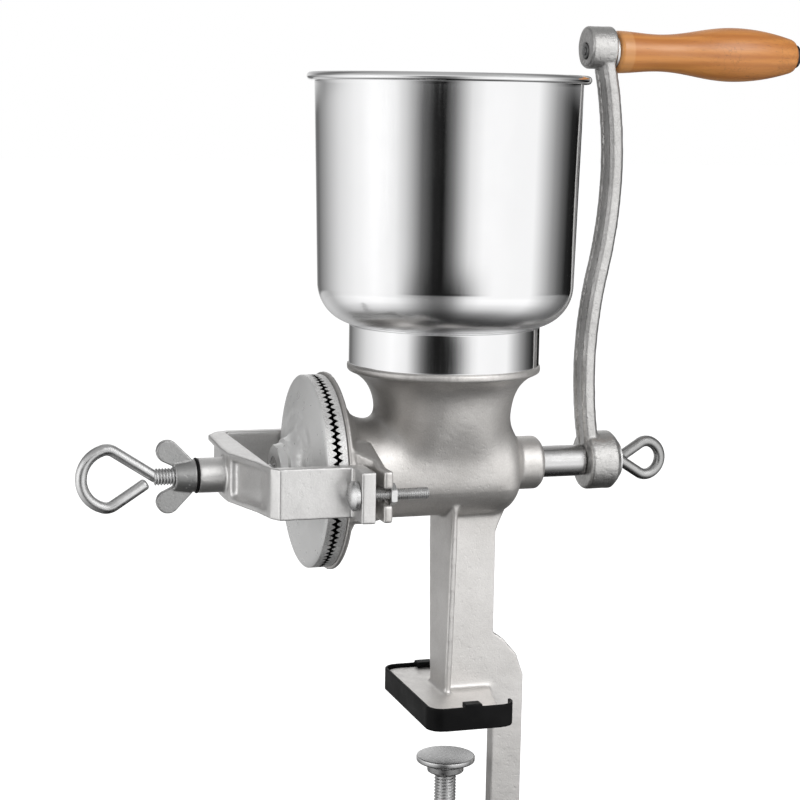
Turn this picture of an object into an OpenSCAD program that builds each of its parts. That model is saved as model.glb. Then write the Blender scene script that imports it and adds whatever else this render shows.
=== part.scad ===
// Hand cranked malt mill: a burr mill that clamps on a table edge.
// X runs along the shaft towards the crank, Z is up, and the origin is the centre of the
// foot's underside, on the table top. All sizes are in millimetres.

/* [Hopper] */
// How far the rolled rim stands out from the bowl's wall
rim_lip = 4; // [3:0.2:8]
// Diameter of the rolled bead on the rim
rim_roll_d = 4.4; // [3:0.1:6]
// Outside diameter of the bowl's wall at the rim
bowl_top_d = 140; // [132:0.5:142]
// Outside diameter of the bowl's wall at its foot
bowl_low_d = 135; // [126:0.5:140]
// Height of the bowl from its underside to the rim
bowl_h = 130.5; // [100:0.5:160]
// Outside radius of the bowl's rounded bottom edge
bowl_corner_r = 22; // [12:0.5:26]
// Thickness of the hopper's sheet metal
sheet_t = 1; // [0.8:0.1:1.6]
// Outside diameter of the collar under the bowl
collar_d = 100.8; // [94:0.2:106]
// Height of the collar
collar_h = 20.6; // [18:0.2:30]
// Length of the bowl's neck inside the collar
bowl_neck_h = 6; // [3:0.5:7]

/* [Casting] */
// Height of the shaft axis above the table
shaft_z = 133; // [120:1:160]
// Height of the throat's rim above the shaft axis
throat_h = 55.4; // [48:0.2:70]
// How far the bead round the throat's rim stands proud of the collar
bead_lip = 0.9; // [0.5:0.1:3]
// Height of the bead round the throat's rim
bead_h = 3.6; // [2:0.2:8]
// Height of the spigot that enters the collar
spigot_h = 12; // [8:0.5:14]
// Wall thickness of the spigot
spigot_t = 5; // [3:0.5:8]
// Outside diameter of the throat's neck
neck_d = 74; // [68:1:84]
// Radius of the sweep from the neck out to the throat's rim
neck_sweep_r = 20; // [17:0.5:26]
// How far inside the barrel's side the throat's front face ends at shaft height
throat_set = 2; // [1:0.2:4]
// Outside diameter of the barrel
barrel_d = 53; // [50:0.5:58]
// Wall thickness of the barrel
barrel_t = 3.5; // [3:0.5:4.5]
// Distance from the hopper's axis to the barrel's closed end
barrel_reach = 40; // [36:0.5:46]
// Thickness of the barrel's end wall
end_wall_t = 6; // [4:0.5:8]
// Diameter of the shaft boss
boss_d = 29; // [26:0.5:34]
// Length of the shaft boss
boss_len = 15.3; // [8:0.1:20]
// Chamfer on the shaft boss
boss_chamfer = 2.5; // [0.5:0.5:4]
// Distance from the hopper's axis to the face that the fixed burr sits on
burr_seat = 65.4; // [60:0.2:75]
// Diameter of the bell mouth behind the fixed burr
bell_d = 104; // [98:1:110]
// Length of the bell mouth
bell_len = 20; // [16:0.5:24]
// Thickness of the bell's rim
bell_rim_t = 2.6; // [2:0.2:4]

/* [Burrs and shaft] */
// Diameter of both burrs
burr_d = 101; // [94:1:106]
// Thickness of the fixed burr
fixed_burr_t = 5.2; // [4:0.2:8]
// Thickness of the turning burr's rim
turning_burr_t = 4.8; // [4:0.2:8]
// Gap between the burrs as set at rest
burr_gap = 0.8; // [0.7:0.1:2]
// Number of teeth round each burr
burr_teeth = 90; // [36:2:96]
// Depth of the burr teeth
tooth_depth = 1.8; // [0.5:0.1:2.5]
// Radial length of the burr teeth
tooth_len = 12; // [6:0.5:16]
// Diameter of the hub on the back of the turning burr
burr_hub_d = 32; // [28:0.5:38]
// Distance from the turning burr's back edge to the end of its hub
burr_hub_len = 16; // [12:0.5:18]
// Diameter of the shaft
shaft_d = 17; // [14:0.5:20]
// Diameter of the feed worm's core
worm_core_d = 21; // [20:0.5:26]
// Pitch of the feed worm
worm_pitch = 26; // [20:1:36]
// Thickness of the feed worm's flight at its root
worm_root_t = 7; // [4:0.5:9]
// Thickness of the feed worm's flight at its edge
worm_edge_t = 4; // [2:0.5:6]
// Diameter of the pin that drives the turning burr
drive_pin_d = 6; // [4:0.5:7]
// Diameter of the thrust ball
ball_d = 9; // [7:0.5:11]
// Depth to which the thrust ball sits in the shaft
ball_seat_depth = 3; // [1.5:0.5:4]

/* [Yoke] */
// Distance from the hopper's axis to the end of the yoke's boss
yoke_reach = 132.7; // [130:0.2:145]
// Height of the yoke
yoke_h = 26; // [22:0.5:30]
// Thickness of the yoke's side arms
yoke_arm_t = 7; // [5:0.5:9]
// Clearance between the bell mouth and the yoke's side arms
yoke_clear = 2; // [1.5:0.5:6]
// Diameter of the yoke's boss
yoke_boss_d = 18.4; // [16:0.2:24]
// Length of the yoke's round boss
yoke_boss_len = 14; // [10:0.5:16]
// Thickness of the yoke's cross bar
yoke_bar_t = 13.2; // [9:0.1:16]
// How far the cross bar's back end leans towards the burrs
yoke_sweep = 2.2; // [0:0.1:6]
// How far its front end leans towards the burrs
yoke_front_sweep = 8.4; // [0:0.1:10]
// Where the arms' flat pads start, past the cross bar's inner face
yoke_pad_set = 1.5; // [0:0.1:6]
// Depth of the pockets in the cross bar's outer faces
yoke_pocket = 3; // [1:0.5:4]
// Height of the ridges above and below the pockets
yoke_ridge = 3.6; // [2:0.2:6]
// Thickness of the yoke's turned out feet
yoke_foot_t = 7.4; // [5:0.2:9]
// How far the yoke's feet turn out
yoke_foot_out = 17; // [15:0.5:20]
// Diameter of the yoke bolts
bolt_d = 6; // [5:0.5:7]
// Diameter of the yoke bolts' heads
bolt_head_d = 15; // [12:0.5:16]
// Thickness of the yoke bolts' heads
bolt_head_t = 5.5; // [3:0.5:7]
// Length of the yoke bolts' shanks
bolt_len = 37; // [28:0.5:45]
// Distance across flats of the yoke nuts
nut_af = 10; // [9:0.5:13]
// Thickness of the yoke nuts
nut_t = 3; // [2.5:0.5:6]
// Distance from the fixed burr's seat to the face of the casting's ears
ear_set = 9.6; // [8.6:0.2:12]
// Gap between the yoke's feet and the casting's ears
ear_gap = 3.8; // [2:0.2:6]
// Thickness of the casting's forked ears
ear_t = 5; // [4:0.2:8]
// How far each ear rises above the yoke where it meets the bell
ear_rise = 8; // [4:0.5:10]
// Width of the slot in each forked ear
ear_slot = 8; // [7.5:0.5:9]

/* [Adjusting screw] */
// Outside diameter of the adjusting screw's thread
screw_d = 9; // [8:0.5:10]
// Length of plain thread between the yoke's boss and the screw's eye
screw_free = 23; // [20:0.5:34]
// Wire diameter of the screw's eye
eye_wire = 6; // [5:0.2:7]
// Length of the screw's eye
eye_len = 41; // [34:0.5:48]
// Height of the screw's eye
eye_h = 36; // [30:0.5:42]
// Thickness of the lock washer
lock_washer_t = 1; // [0.6:0.1:2]
// Length of the wing nut's hub
wing_hub_len = 11; // [8:0.5:12]
// Diameter of the wing nut's hub
wing_hub_d = 17; // [15:0.5:20]
// Span of the wing nut from tip to tip
wing_span = 38; // [30:0.5:44]
// Thickness of the wing nut's wings
wing_t = 4.6; // [3:0.2:6]
// How far the wing tips lean past the hub
wing_lean = 9.1; // [4:0.1:12]
// Radius of the rounded wing ends
wing_lobe_r = 5.9; // [4:0.1:7]

/* [Crank] */
// Distance from the shaft to the grip's axis
crank_len = 220; // [216:1:250]
// Distance from the shaft boss to the crank's hub
crank_gap = 25.5; // [22:0.5:34]
// Diameter of the crank's hub
hub_d = 32; // [28:0.5:38]
// Length of the crank's hub
hub_len = 18.4; // [16:0.2:24]
// Size of the square that drives the crank
drive_square = 11.8; // [10:0.2:13]
// Thickness of the crank's arm along the shaft
arm_t = 8.4; // [6:0.2:10]
// Width of the crank's arm
arm_w = 16; // [12:0.5:18]
// Sideways sway of the arm's S shape
arm_sway = 12.2; // [6:0.2:14]
// Length of the arm's S shape between its two bulges
arm_swing = 110; // [90:1:120]
// Height of the arm's lower bulge above the shaft
arm_low = 50; // [40:1:56]
// Depth of the groove along the arm's inner face
arm_groove = 1.2; // [0.4:0.1:2]
// How far the arm stands off the hub's middle towards the hopper
arm_offset = 4.2; // [2:0.2:5]
// Diameter of the boss at the grip's end of the arm
grip_boss_d = 22.6; // [20:0.2:26]
// Length of the boss at the grip's end of the arm
grip_boss_len = 15.2; // [15:0.2:19]
// How far that boss is set towards the hopper from the arm's middle
grip_boss_set = 2.4; // [0:0.2:4]
// How far the middle of that boss stands above the grip's axis
grip_boss_rise = 2; // [0:0.2:3]
// Diameter of the screw that holds the crank
crank_screw_d = 8; // [6:0.5:8]
// Wire diameter of the crank screw's eye
crank_eye_wire = 6; // [4:0.2:7]
// Length of the crank screw's eye
crank_eye_len = 28; // [24:0.5:32]
// Height of the crank screw's eye
crank_eye_h = 24.5; // [22:0.5:28]
// Thickness of the washer under the crank screw
crank_washer_t = 1.6; // [1:0.1:2.5]

/* [Grip] */
// Length of the wooden grip
grip_len = 106; // [90:1:120]
// Diameter of the grip at the crank
grip_near_d = 22.4; // [20:0.2:26]
// Diameter of the grip's neck
grip_neck_d = 19.6; // [17:0.2:22]
// Diameter of the grip's belly
grip_belly_d = 28.8; // [26:0.2:34]
// Diameter of the grip's far end
grip_far_d = 17; // [16:0.5:22]
// Diameter of the bolt through the grip
grip_bolt_d = 8; // [6:0.5:9]
// Diameter of the grip bolt's head
grip_head_d = 12.5; // [11:0.5:15]
// Thickness of the grip bolt's head
grip_head_t = 3; // [2:0.5:4]
// Thickness of the washer between the crank and the grip
grip_washer_t = 1.2; // [0.8:0.1:2]

/* [Leg and clamp] */
// Distance from the foot's centre back to the hopper's axis
hopper_back = 6; // [0:0.5:10]
// Width of the leg's flange under the barrel
leg_top_w = 40; // [34:0.5:48]
// Width of the leg's flange at the foot
leg_low_w = 26; // [20:0.5:34]
// Thickness of the leg's flange
leg_t = 4; // [3:0.5:8]
// Thickness of the leg's web and of the clamp's spine
web_t = 9; // [7:0.5:14]
// Width of the leg from the flange's face to the web's edge
web_w = 30.5; // [28:0.5:36]
// Width of the clamp's spine
spine_w = 17.2; // [15:0.2:28]
// Length of the foot plate
foot_l = 85; // [76:1:100]
// Width of the foot plate at its middle
foot_w = 45; // [40:0.5:50]
// Width of the foot plate at its ends
foot_end_w = 37; // [32:0.5:40]
// Thickness of the foot plate
foot_t = 7.5; // [6:0.5:10]
// Radius of the foot plate's corners
foot_corner_r = 7; // [3:0.5:10]
// Thickness of the rubber boot's floor
boot_floor = 3; // [2:0.5:5]
// Thickness of the rubber boot's wall
boot_wall = 1.6; // [1.2:0.1:2.5]
// How far the rubber boot's wall stands above the foot plate
boot_lip = 1.8; // [0.4:0.2:3]
// How far the boot's wall runs on past its corners on the open side
boot_return = 2; // [0.5:0.5:8]
// Height of the clamp's jaw below the table top
jaw_h = 62; // [50:1:75]
// Thickness of the clamp's lower arm
jaw_arm_h = 20; // [16:0.5:26]
// Diameter of the boss that the clamp screw runs through
jaw_boss_d = 26; // [22:0.5:32]
// Gap between the foot and the clamp's pad as set at rest
table_gap = 28; // [24:0.5:34]
// Outside diameter of the clamp screw's thread
clamp_d = 12; // [10:0.5:13]
// Length of the clamp screw's thread below the pad
clamp_len = 72; // [66:1:90]
// Wire diameter of the clamp screw's eye
clamp_eye_wire = 7.6; // [6:0.2:8]
// Length of the clamp screw's eye
clamp_eye_len = 42; // [36:0.5:48]
// Height of the clamp screw's eye
clamp_eye_h = 40; // [36:0.5:46]
// Diameter of the clamp's swivel pad
pad_d = 32; // [26:0.5:36]
// Thickness of the clamp's swivel pad
pad_t = 9; // [7:0.5:11]

/* [Clearances] */
// Radial clearance of a part that turns in a bore
run_gap = 0.06; // [0.02:0.01:0.1]
// Clearance between parts that drop or slide together
slip_gap = 0.3; // [0.2:0.05:0.5]
// Clearance between the rubber boot and the clamp's spine
spine_gap = 1; // [0.5:0.1:2]

/* [Hidden] */
$fn = 64;
// A cut runs this far past the face that it opens
past = 1;
// Two parts of one casting overlap by this much
root = 1;

// Hopper and throat
hopper_x = -hopper_back;
throat_z = shaft_z + throat_h;
bowl_z = throat_z + collar_h;
rim_z = bowl_z + bowl_h;
collar_in_r = collar_d/2 - sheet_t;
bowl_hole_r = collar_in_r - run_gap - sheet_t;
spigot_r = collar_in_r - slip_gap;
spigot_in_r = spigot_r - spigot_t;
bead_r = collar_d/2 + bead_lip;
neck_r = neck_d/2;
neck_wall = 6;
bead_low_z = throat_z - bead_h;
neck_z = bead_low_z - sqrt(pow(neck_sweep_r, 2) - pow(neck_r + neck_sweep_r - bead_r, 2));
neck_taper = 3.5;
throat_blend = 0.6;
barrel_bore_r = barrel_d/2 - barrel_t;
barrel_end_x = hopper_x + barrel_reach;
boss_end_x = barrel_end_x + boss_len;
bore_end_x = barrel_end_x - end_wall_t;

// Burrs, from the seat towards the yoke
seat_x = hopper_x - burr_seat;
fixed_face_x = seat_x - fixed_burr_t;
turning_face_x = fixed_face_x - burr_gap;
turning_back_x = turning_face_x - turning_burr_t;
hub_end_x = turning_back_x - burr_hub_len;
bell_back_r = bell_d/2 - 8;
burr_eye_r = barrel_bore_r + 1;
dish_t = 5;
dish_r = burr_d/2 - 3;
drive_pin_len = burr_hub_d + 4;
drive_pin_x = hub_end_x + drive_pin_d/2 + 4;
ball_x = hub_end_x - ball_d/2 + ball_seat_depth;
screw_tip_x = ball_x - ball_d/2 - run_gap;
locating_pin_d = 5;
locating_pin_len = 6;
locating_pin_r = (burr_eye_r + burr_d/2)/2;

// Yoke and ears
yoke_end_x = hopper_x - yoke_reach;
yoke_bar_x = yoke_end_x + yoke_boss_len;
yoke_in_x = yoke_bar_x + yoke_bar_t;
arm_in_y = max(bell_d, burr_d)/2 + yoke_clear;
arm_out_y = arm_in_y + yoke_arm_t;
yoke_back_edge = [yoke_bar_x + yoke_sweep, 0.8*arm_out_y];
yoke_front_edge = [yoke_bar_x + yoke_front_sweep, 0.64*arm_out_y];
yoke_pad_x = yoke_in_x + yoke_pad_set;
foot_out_y = arm_out_y + yoke_foot_out;
bolt_y = arm_out_y + yoke_foot_out/2;
ear_face_x = seat_x + ear_set;
yoke_foot_end_x = ear_face_x - ear_gap;
yoke_foot_x = yoke_foot_end_x - yoke_foot_t;
ear_end_x = ear_face_x + ear_t;

// Adjusting screw
eye_neck_x = yoke_end_x - screw_free;
wing_x = yoke_end_x - lock_washer_t;

// Crank
crank_x = boss_end_x + crank_gap;
hub_end = crank_x + hub_len;
arm_r = (arm_swing*arm_swing/4 + arm_sway*arm_sway/4)/arm_sway;
arm_left_x = crank_x + hub_len/2 - arm_low*arm_low/2/arm_r - arm_offset;
arm_right_x = arm_left_x + arm_sway;
arm_top_z = arm_low + arm_swing;
arm_half = 2*atan(arm_sway/arm_swing);
grip_z = shaft_z + crank_len;
arm_low_a = asin(arm_low/arm_r);
arm_top_a = asin((crank_len - arm_top_z)/arm_r);
grip_boss_mid = arm_right_x - arm_r + sqrt(arm_r*arm_r - pow(crank_len - arm_top_z, 2));
grip_boss_x = grip_boss_mid - grip_boss_len/2 - grip_boss_set;
grip_washer_x = grip_boss_x + grip_boss_len;
grip_x = grip_washer_x + grip_washer_t + slip_gap;
grip_end_x = grip_x + grip_len;
square_short = 1.5;
square_len = hub_len - square_short;
screw_depth = 6;

// Leg, foot and clamp
leg_x = hopper_x;
leg_top_z = shaft_z - barrel_d/2 + 8;
web_x = leg_x + web_w;
plate_z = boot_floor;
plate_top_z = plate_z + foot_t;
boot_w = foot_w + 2*boot_wall;
boot_h = plate_top_z + boot_lip;
corner_steps = 8;
spine_x = boot_w/2 + spine_gap;
spine_end_x = spine_x + spine_w;
jaw_z = -jaw_h;
jaw_low_z = jaw_z - jaw_arm_h;
pad_z = -table_gap - pad_t;
pad_socket = pad_t/2;
clamp_pin_r = clamp_d/2 - 1;
clamp_neck_z = pad_z - clamp_len;

// Points of a shape that is turned about the Z axis, given as [radius, height]
module turned(points) {
    rotate_extrude() polygon(points);
}

// Stands a shape drawn up the Z axis along the shaft, its base at x
module along_shaft(x, z = shaft_z) {
    translate([x, 0, z]) rotate([0, 90, 0]) children();
}

// Stands a flat outline in the X and Z plane, with its thickness centred on y = 0
module upright(thickness) {
    translate([0, thickness/2, 0]) rotate([90, 0, 0]) linear_extrude(thickness) children();
}

// Makes the children on both sides of the mill's middle plane
module both_sides() {
    children();
    mirror([0, 1, 0]) children();
}

// Middle line of a bent wire eye, as [distance along the eye, height, direction of its outside].
// The lower leg grows out of the shank, and the upper leg stops short of it.
bend_steps = 8;
function eye_path(wire, length, height) = let (
        bend_r = wire*1.15,
        reach = length - wire/2,
        corner_z = height/2 - wire/2 - bend_r,
        corner_x = reach*0.66,
        inset = reach - corner_x,
        cap_r = (inset*inset + corner_z*corner_z - bend_r*bend_r)/(2*(inset - bend_r)),
        cap_x = reach - cap_r,
        leg_a = atan2(corner_z, corner_x) + asin(bend_r/norm([corner_x, corner_z])),
        cap_a = atan2(corner_z, corner_x - cap_x),
        stop = wire*1.04/sin(2*leg_a),
        bend = (90 + leg_a - cap_a)/bend_steps)
    concat(
        [[0, 0, -90 - leg_a]],
        [for (i = [0:bend_steps]) let (a = -90 - leg_a + i*bend)
            [corner_x + bend_r*cos(a), -corner_z + bend_r*sin(a), a]],
        [for (i = [1:bend_steps - 1]) let (a = cap_a*(2*i/bend_steps - 1))
            [cap_x + cap_r*cos(a), cap_r*sin(a), a]],
        [for (i = [0:bend_steps]) let (a = cap_a + i*bend)
            [corner_x + bend_r*cos(a), corner_z + bend_r*sin(a), a]],
        [[stop*cos(leg_a), stop*sin(leg_a), 90 + leg_a]]);

// Bent wire eye in the X and Z plane. Its neck is at the origin and it reaches along -X.
module wire_eye(wire, length, height) {
    path = eye_path(wire, length, height);
    sides = 14;
    last = len(path) - 1;
    points = [for (p = path) for (k = [0:sides - 1]) let (a = 360*k/sides, out = wire/2*cos(a))
        [-p[0] - out*cos(p[2]), wire/2*sin(a), p[1] + out*sin(p[2])]];
    skin = [for (i = [0:last - 1]) for (k = [0:sides - 1]) let (
            a = i*sides + k,
            b = i*sides + (k + 1)%sides)
        each [[a, b, a + sides], [b, b + sides, a + sides]]];
    near_end = [for (k = [sides - 1:-1:0]) k];
    far_end = [for (k = [0:sides - 1]) last*sides + k];
    polyhedron(points, concat([near_end], skin, [far_end]));
}

// Outline of the casting's web, spine and lower arm in the X and Z plane
module frame_outline() {
    polygon([
        [leg_x + root, leg_top_z],
        [web_x + 8, leg_top_z],
        [web_x, leg_top_z - 18],
        [web_x, plate_top_z + 30],
        [web_x + 6, plate_top_z + 26],
        [spine_end_x - 4, plate_top_z + 17],
        [spine_end_x, plate_top_z + 6],
        [spine_end_x, jaw_low_z + 10],
        [spine_end_x - 8, jaw_low_z],
        [-jaw_boss_d/3, jaw_low_z],
        [-jaw_boss_d/3, jaw_z],
        [spine_x, jaw_z],
        [spine_x, plate_z],
        [leg_x + root, plate_z]
    ]);
}

// Flange on the leg's outer side, tapering down to the foot
module leg_flange() {
    translate([leg_x, 0, 0]) rotate([90, 0, 90]) linear_extrude(leg_t) polygon([
        [-leg_low_w/2, plate_z],
        [leg_low_w/2, plate_z],
        [leg_top_w/2, leg_top_z],
        [-leg_top_w/2, leg_top_z]
    ]);
}

// Foot plate's outline, wider towards the spine at its middle
module foot_outline() {
    left = -foot_w/2;
    right = foot_w/2;
    end_y = foot_l/2;
    end_x = left + foot_end_w;
    polygon([[left, -end_y], [end_x, -end_y], [right, -web_t], [right, web_t], [end_x, end_y], [left, end_y]]);
}

// Quarter circle about the point [x, y], as a list of points
function corner_arc(x, y, r, start) =
    [for (i = [0:corner_steps]) [x + r*cos(start + 90*i/corner_steps), y + r*sin(start + 90*i/corner_steps)]];

// Round-cornered room that the foot plate fits in, or the boot's outside when grown by its wall
module foot_room(grow) {
    r = foot_corner_r + grow;
    x = foot_w/2 - foot_corner_r;
    y = foot_l/2 - foot_corner_r;
    polygon(concat(
        corner_arc(x, y, r, 0),
        corner_arc(-x, y, r, 90),
        corner_arc(-x, -y, r, 180),
        corner_arc(x, -y, r, 270)
    ));
}

// Outside of the barrel, drawn as [radius, x], from the burr seat to the shaft boss
module barrel_outline() {
    dome_r = (barrel_d - boss_d)/2;
    boss_r = boss_d/2;
    polygon([
        [0, seat_x],
        [bell_d/2, seat_x],
        [bell_d/2, seat_x + bell_rim_t],
        [bell_back_r, seat_x + bell_rim_t + 2],
        [barrel_d/2 + 4, seat_x + bell_len*0.65],
        [barrel_d/2, seat_x + bell_len],
        [barrel_d/2, barrel_end_x - dome_r],
        [boss_r, barrel_end_x - dome_r],
        [boss_r, boss_end_x - boss_chamfer],
        [boss_r - boss_chamfer, boss_end_x],
        [0, boss_end_x]
    ]);
    translate([boss_r, barrel_end_x - dome_r]) intersection() {
        circle(dome_r);
        square(dome_r);
    }
}

// Outside of the throat, drawn as [radius, z], from inside the barrel up to the spigot
module throat_outline() {
    low_z = shaft_z - barrel_d/2 + 6;
    difference() {
        polygon([
            [0, low_z],
            [barrel_d/2 - 10, low_z],
            [neck_r - neck_taper, shaft_z + (neck_z - shaft_z)/4],
            [neck_r, neck_z],
            [bead_r, neck_z],
            [bead_r, throat_z],
            [spigot_r, throat_z],
            [spigot_r, throat_z + spigot_h],
            [0, throat_z + spigot_h]
        ]);
        // Hollow sweep under the bead
        translate([neck_r + neck_sweep_r, neck_z]) circle(neck_sweep_r);
    }
}

// Room that the throat keeps to, drawn as [y, z], so that its front and back run down into the barrel
module throat_room() {
    merge_y = barrel_d/2 - throat_set;
    wide_y = bead_r + past;
    top_z = throat_z + spigot_h + past;
    polygon([
        [-merge_y, shaft_z - barrel_d/2],
        [merge_y, shaft_z - barrel_d/2],
        [merge_y, shaft_z],
        [neck_r + throat_blend, neck_z],
        [wide_y, neck_z],
        [wide_y, top_z],
        [-wide_y, top_z],
        [-wide_y, neck_z],
        [-neck_r - throat_blend, neck_z],
        [-merge_y, shaft_z]
    ]);
}

// Ear that a yoke bolt passes through, reaching out from the bell mouth
module forked_ear() {
    ear_h = yoke_h;
    translate([0, 0, shaft_z - ear_h/2]) linear_extrude(ear_h) polygon([
        [seat_x + bell_rim_t/2, barrel_d/2],
        [seat_x + bell_rim_t/2, bell_back_r + 3],
        [ear_face_x, arm_in_y + 4],
        [ear_face_x, foot_out_y],
        [ear_end_x, foot_out_y],
        [ear_end_x, arm_in_y],
        [ear_end_x + 6, barrel_d/2 - 4]
    ]);
}

// Web that stiffens an ear, highest where it meets the bell
module ear_web() {
    web_r = yoke_h/2 + ear_rise;
    low_y = barrel_d/2 - ear_rise;
    intersection() {
        translate([0, 0, shaft_z - web_r]) linear_extrude(2*web_r) polygon([
            [seat_x + bell_rim_t/2, low_y],
            [seat_x + bell_rim_t/2, bell_back_r + 3],
            [ear_face_x, arm_in_y + 4],
            [ear_face_x, bolt_y],
            [ear_end_x, bolt_y],
            [ear_end_x, arm_in_y - 14],
            [ear_face_x, low_y]
        ]);
        translate([seat_x, 0, shaft_z]) rotate([90, 0, 90]) linear_extrude(ear_end_x - seat_x + past) polygon([
            [0, -web_r],
            [arm_in_y - 14, -web_r],
            [bolt_y - ear_slot/2, -yoke_h/2],
            [bolt_y + past, -yoke_h/2],
            [bolt_y + past, yoke_h/2],
            [bolt_y - ear_slot/2, yoke_h/2],
            [arm_in_y - 14, web_r],
            [0, web_r]
        ]);
    }
}

module mill_body() {
    color([0.72, 0.72, 0.71]) difference() {
        union() {
            along_shaft(0) rotate_extrude() barrel_outline();
            intersection() {
                translate([hopper_x, 0, 0]) rotate_extrude() throat_outline();
                translate([hopper_x - bead_r - past, 0, 0]) rotate([90, 0, 90])
                    linear_extrude(2*bead_r + 2*past) throat_room();
            }
            both_sides() forked_ear();
            both_sides() ear_web();
            upright(web_t) frame_outline();
            leg_flange();
            translate([0, 0, plate_z]) intersection() {
                linear_extrude(foot_t) foot_outline();
                linear_extrude(foot_t) foot_room(0);
            }
            translate([foot_w/2 - 4, -web_t/2, plate_z]) cube([spine_x - foot_w/2 + 5, web_t, foot_t]);
            translate([0, 0, jaw_low_z]) cylinder(d = jaw_boss_d, h = jaw_arm_h);
        }
        // Barrel, open at the burrs
        along_shaft(seat_x - past) cylinder(r = barrel_bore_r, h = bore_end_x - seat_x + past);
        // Funnel from the hopper down to the feed worm
        translate([hopper_x, 0, 0]) turned([
            [0, shaft_z],
            [barrel_bore_r - 3, shaft_z],
            [neck_r - neck_wall, neck_z],
            [spigot_in_r, throat_z],
            [spigot_in_r, throat_z + spigot_h + past],
            [0, throat_z + spigot_h + past]
        ]);
        // Shaft bearing
        along_shaft(bore_end_x - past) cylinder(d = shaft_d + 2*run_gap, h = boss_end_x - bore_end_x + 2*past);
        // Fork slots
        both_sides() translate([ear_face_x - past, bolt_y - ear_slot/2, shaft_z - ear_slot/2])
            cube([ear_t + 2*past, yoke_foot_out, ear_slot]);
        // Locating pins of the fixed burr
        for (turn = [90, 270]) along_shaft(seat_x - past) rotate([0, 0, turn]) translate([locating_pin_r, 0, 0])
            cylinder(d = locating_pin_d, h = locating_pin_len/2 + past);
        // Clamp screw's threaded hole
        translate([0, 0, jaw_low_z - past]) cylinder(d = clamp_d + 2*run_gap, h = jaw_arm_h + 2*past);
    }
}

module hopper_bowl() {
    low_r = bowl_low_d/2;
    top_r = bowl_top_d/2;
    corner = [low_r - bowl_corner_r, bowl_z + bowl_corner_r];
    roll_r = rim_roll_d/2;
    neck_low_z = bowl_z - bowl_neck_h;
    neck_top_z = corner[1] - sqrt(pow(bowl_corner_r - sheet_t, 2) - pow(bowl_hole_r - corner[0], 2));
    color([0.80, 0.81, 0.82]) translate([hopper_x, 0, 0]) rotate_extrude() {
        // Wall
        polygon([
            [low_r - sheet_t, corner[1]],
            [low_r, corner[1]],
            [top_r, rim_z - roll_r],
            [top_r - sheet_t, rim_z - roll_r]
        ]);
        // Turned out rim with its rolled bead
        translate([top_r - sheet_t, rim_z - roll_r - sheet_t/2]) square([rim_lip - roll_r + sheet_t, sheet_t]);
        translate([top_r + rim_lip - roll_r, rim_z - roll_r]) circle(roll_r);
        // Rounded bottom edge
        translate(corner) intersection() {
            difference() {
                circle(bowl_corner_r);
                circle(bowl_corner_r - sheet_t);
            }
            translate([bowl_hole_r - corner[0], -bowl_corner_r - past])
                square([low_r - bowl_hole_r + past, bowl_corner_r + past]);
        }
        // Neck inside the collar
        translate([bowl_hole_r, neck_low_z]) square([sheet_t, neck_top_z - neck_low_z]);
    }
}

module hopper_collar() {
    color([0.80, 0.81, 0.82]) translate([hopper_x, 0, throat_z]) difference() {
        cylinder(d = collar_d, h = collar_h);
        translate([0, 0, -past]) cylinder(r = collar_in_r, h = collar_h + 2*past);
    }
}

// Radial grooves that leave teeth on a burr's face. The face is at z = 0, the burr lies above it.
module burr_grooves() {
    half_w = PI*burr_d/burr_teeth*0.36;
    for (i = [0:burr_teeth - 1]) rotate([0, 0, i*360/burr_teeth]) translate([burr_d/2 - tooth_len, 0, 0])
        rotate([90, 0, 90]) linear_extrude(tooth_len + past)
            polygon([[-half_w, -past/4], [half_w, -past/4], [0, tooth_depth]]);
}

module fixed_burr() {
    color([0.66, 0.66, 0.65]) along_shaft(fixed_face_x) difference() {
        cylinder(d = burr_d, h = fixed_burr_t);
        translate([0, 0, -past]) cylinder(r = burr_eye_r, h = fixed_burr_t + 2*past);
        burr_grooves();
        for (turn = [90, 270]) rotate([0, 0, turn]) translate([locating_pin_r, 0, fixed_burr_t - locating_pin_len/2])
            cylinder(d = locating_pin_d, h = locating_pin_len);
    }
}

module burr_locating_pins() {
    color([0.55, 0.55, 0.56]) for (turn = [90, 270]) along_shaft(seat_x - locating_pin_len/2)
        rotate([0, 0, turn]) translate([locating_pin_r, 0, 0]) cylinder(d = locating_pin_d, h = locating_pin_len);
}

module turning_burr() {
    edge_r = burr_d/2;
    back_h = turning_burr_t + burr_hub_len;
    color([0.70, 0.70, 0.69]) along_shaft(turning_face_x) mirror([0, 0, 1]) difference() {
        turned([
            [0, 0],
            [edge_r, 0],
            [edge_r, turning_burr_t],
            [dish_r, turning_burr_t + 0.6],
            [burr_hub_d/2 + 9, turning_burr_t + 5],
            [burr_hub_d/2 + 2, turning_burr_t + 8],
            [burr_hub_d/2, turning_burr_t + 11],
            [burr_hub_d/2 - 1, back_h],
            [0, back_h]
        ]);
        // Hollow behind the grinding face
        translate([0, 0, -past]) cylinder(r = burr_eye_r, h = dish_t + past);
        translate([0, 0, -past]) cylinder(d = shaft_d + 2*run_gap, h = back_h + 2*past);
        burr_grooves();
        // Slot for the drive pin
        translate([0, drive_pin_len/2 + past, turning_face_x - drive_pin_x]) rotate([90, 0, 0])
            cylinder(d = drive_pin_d + 2*run_gap, h = drive_pin_len + 2*past);
    }
}

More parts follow.
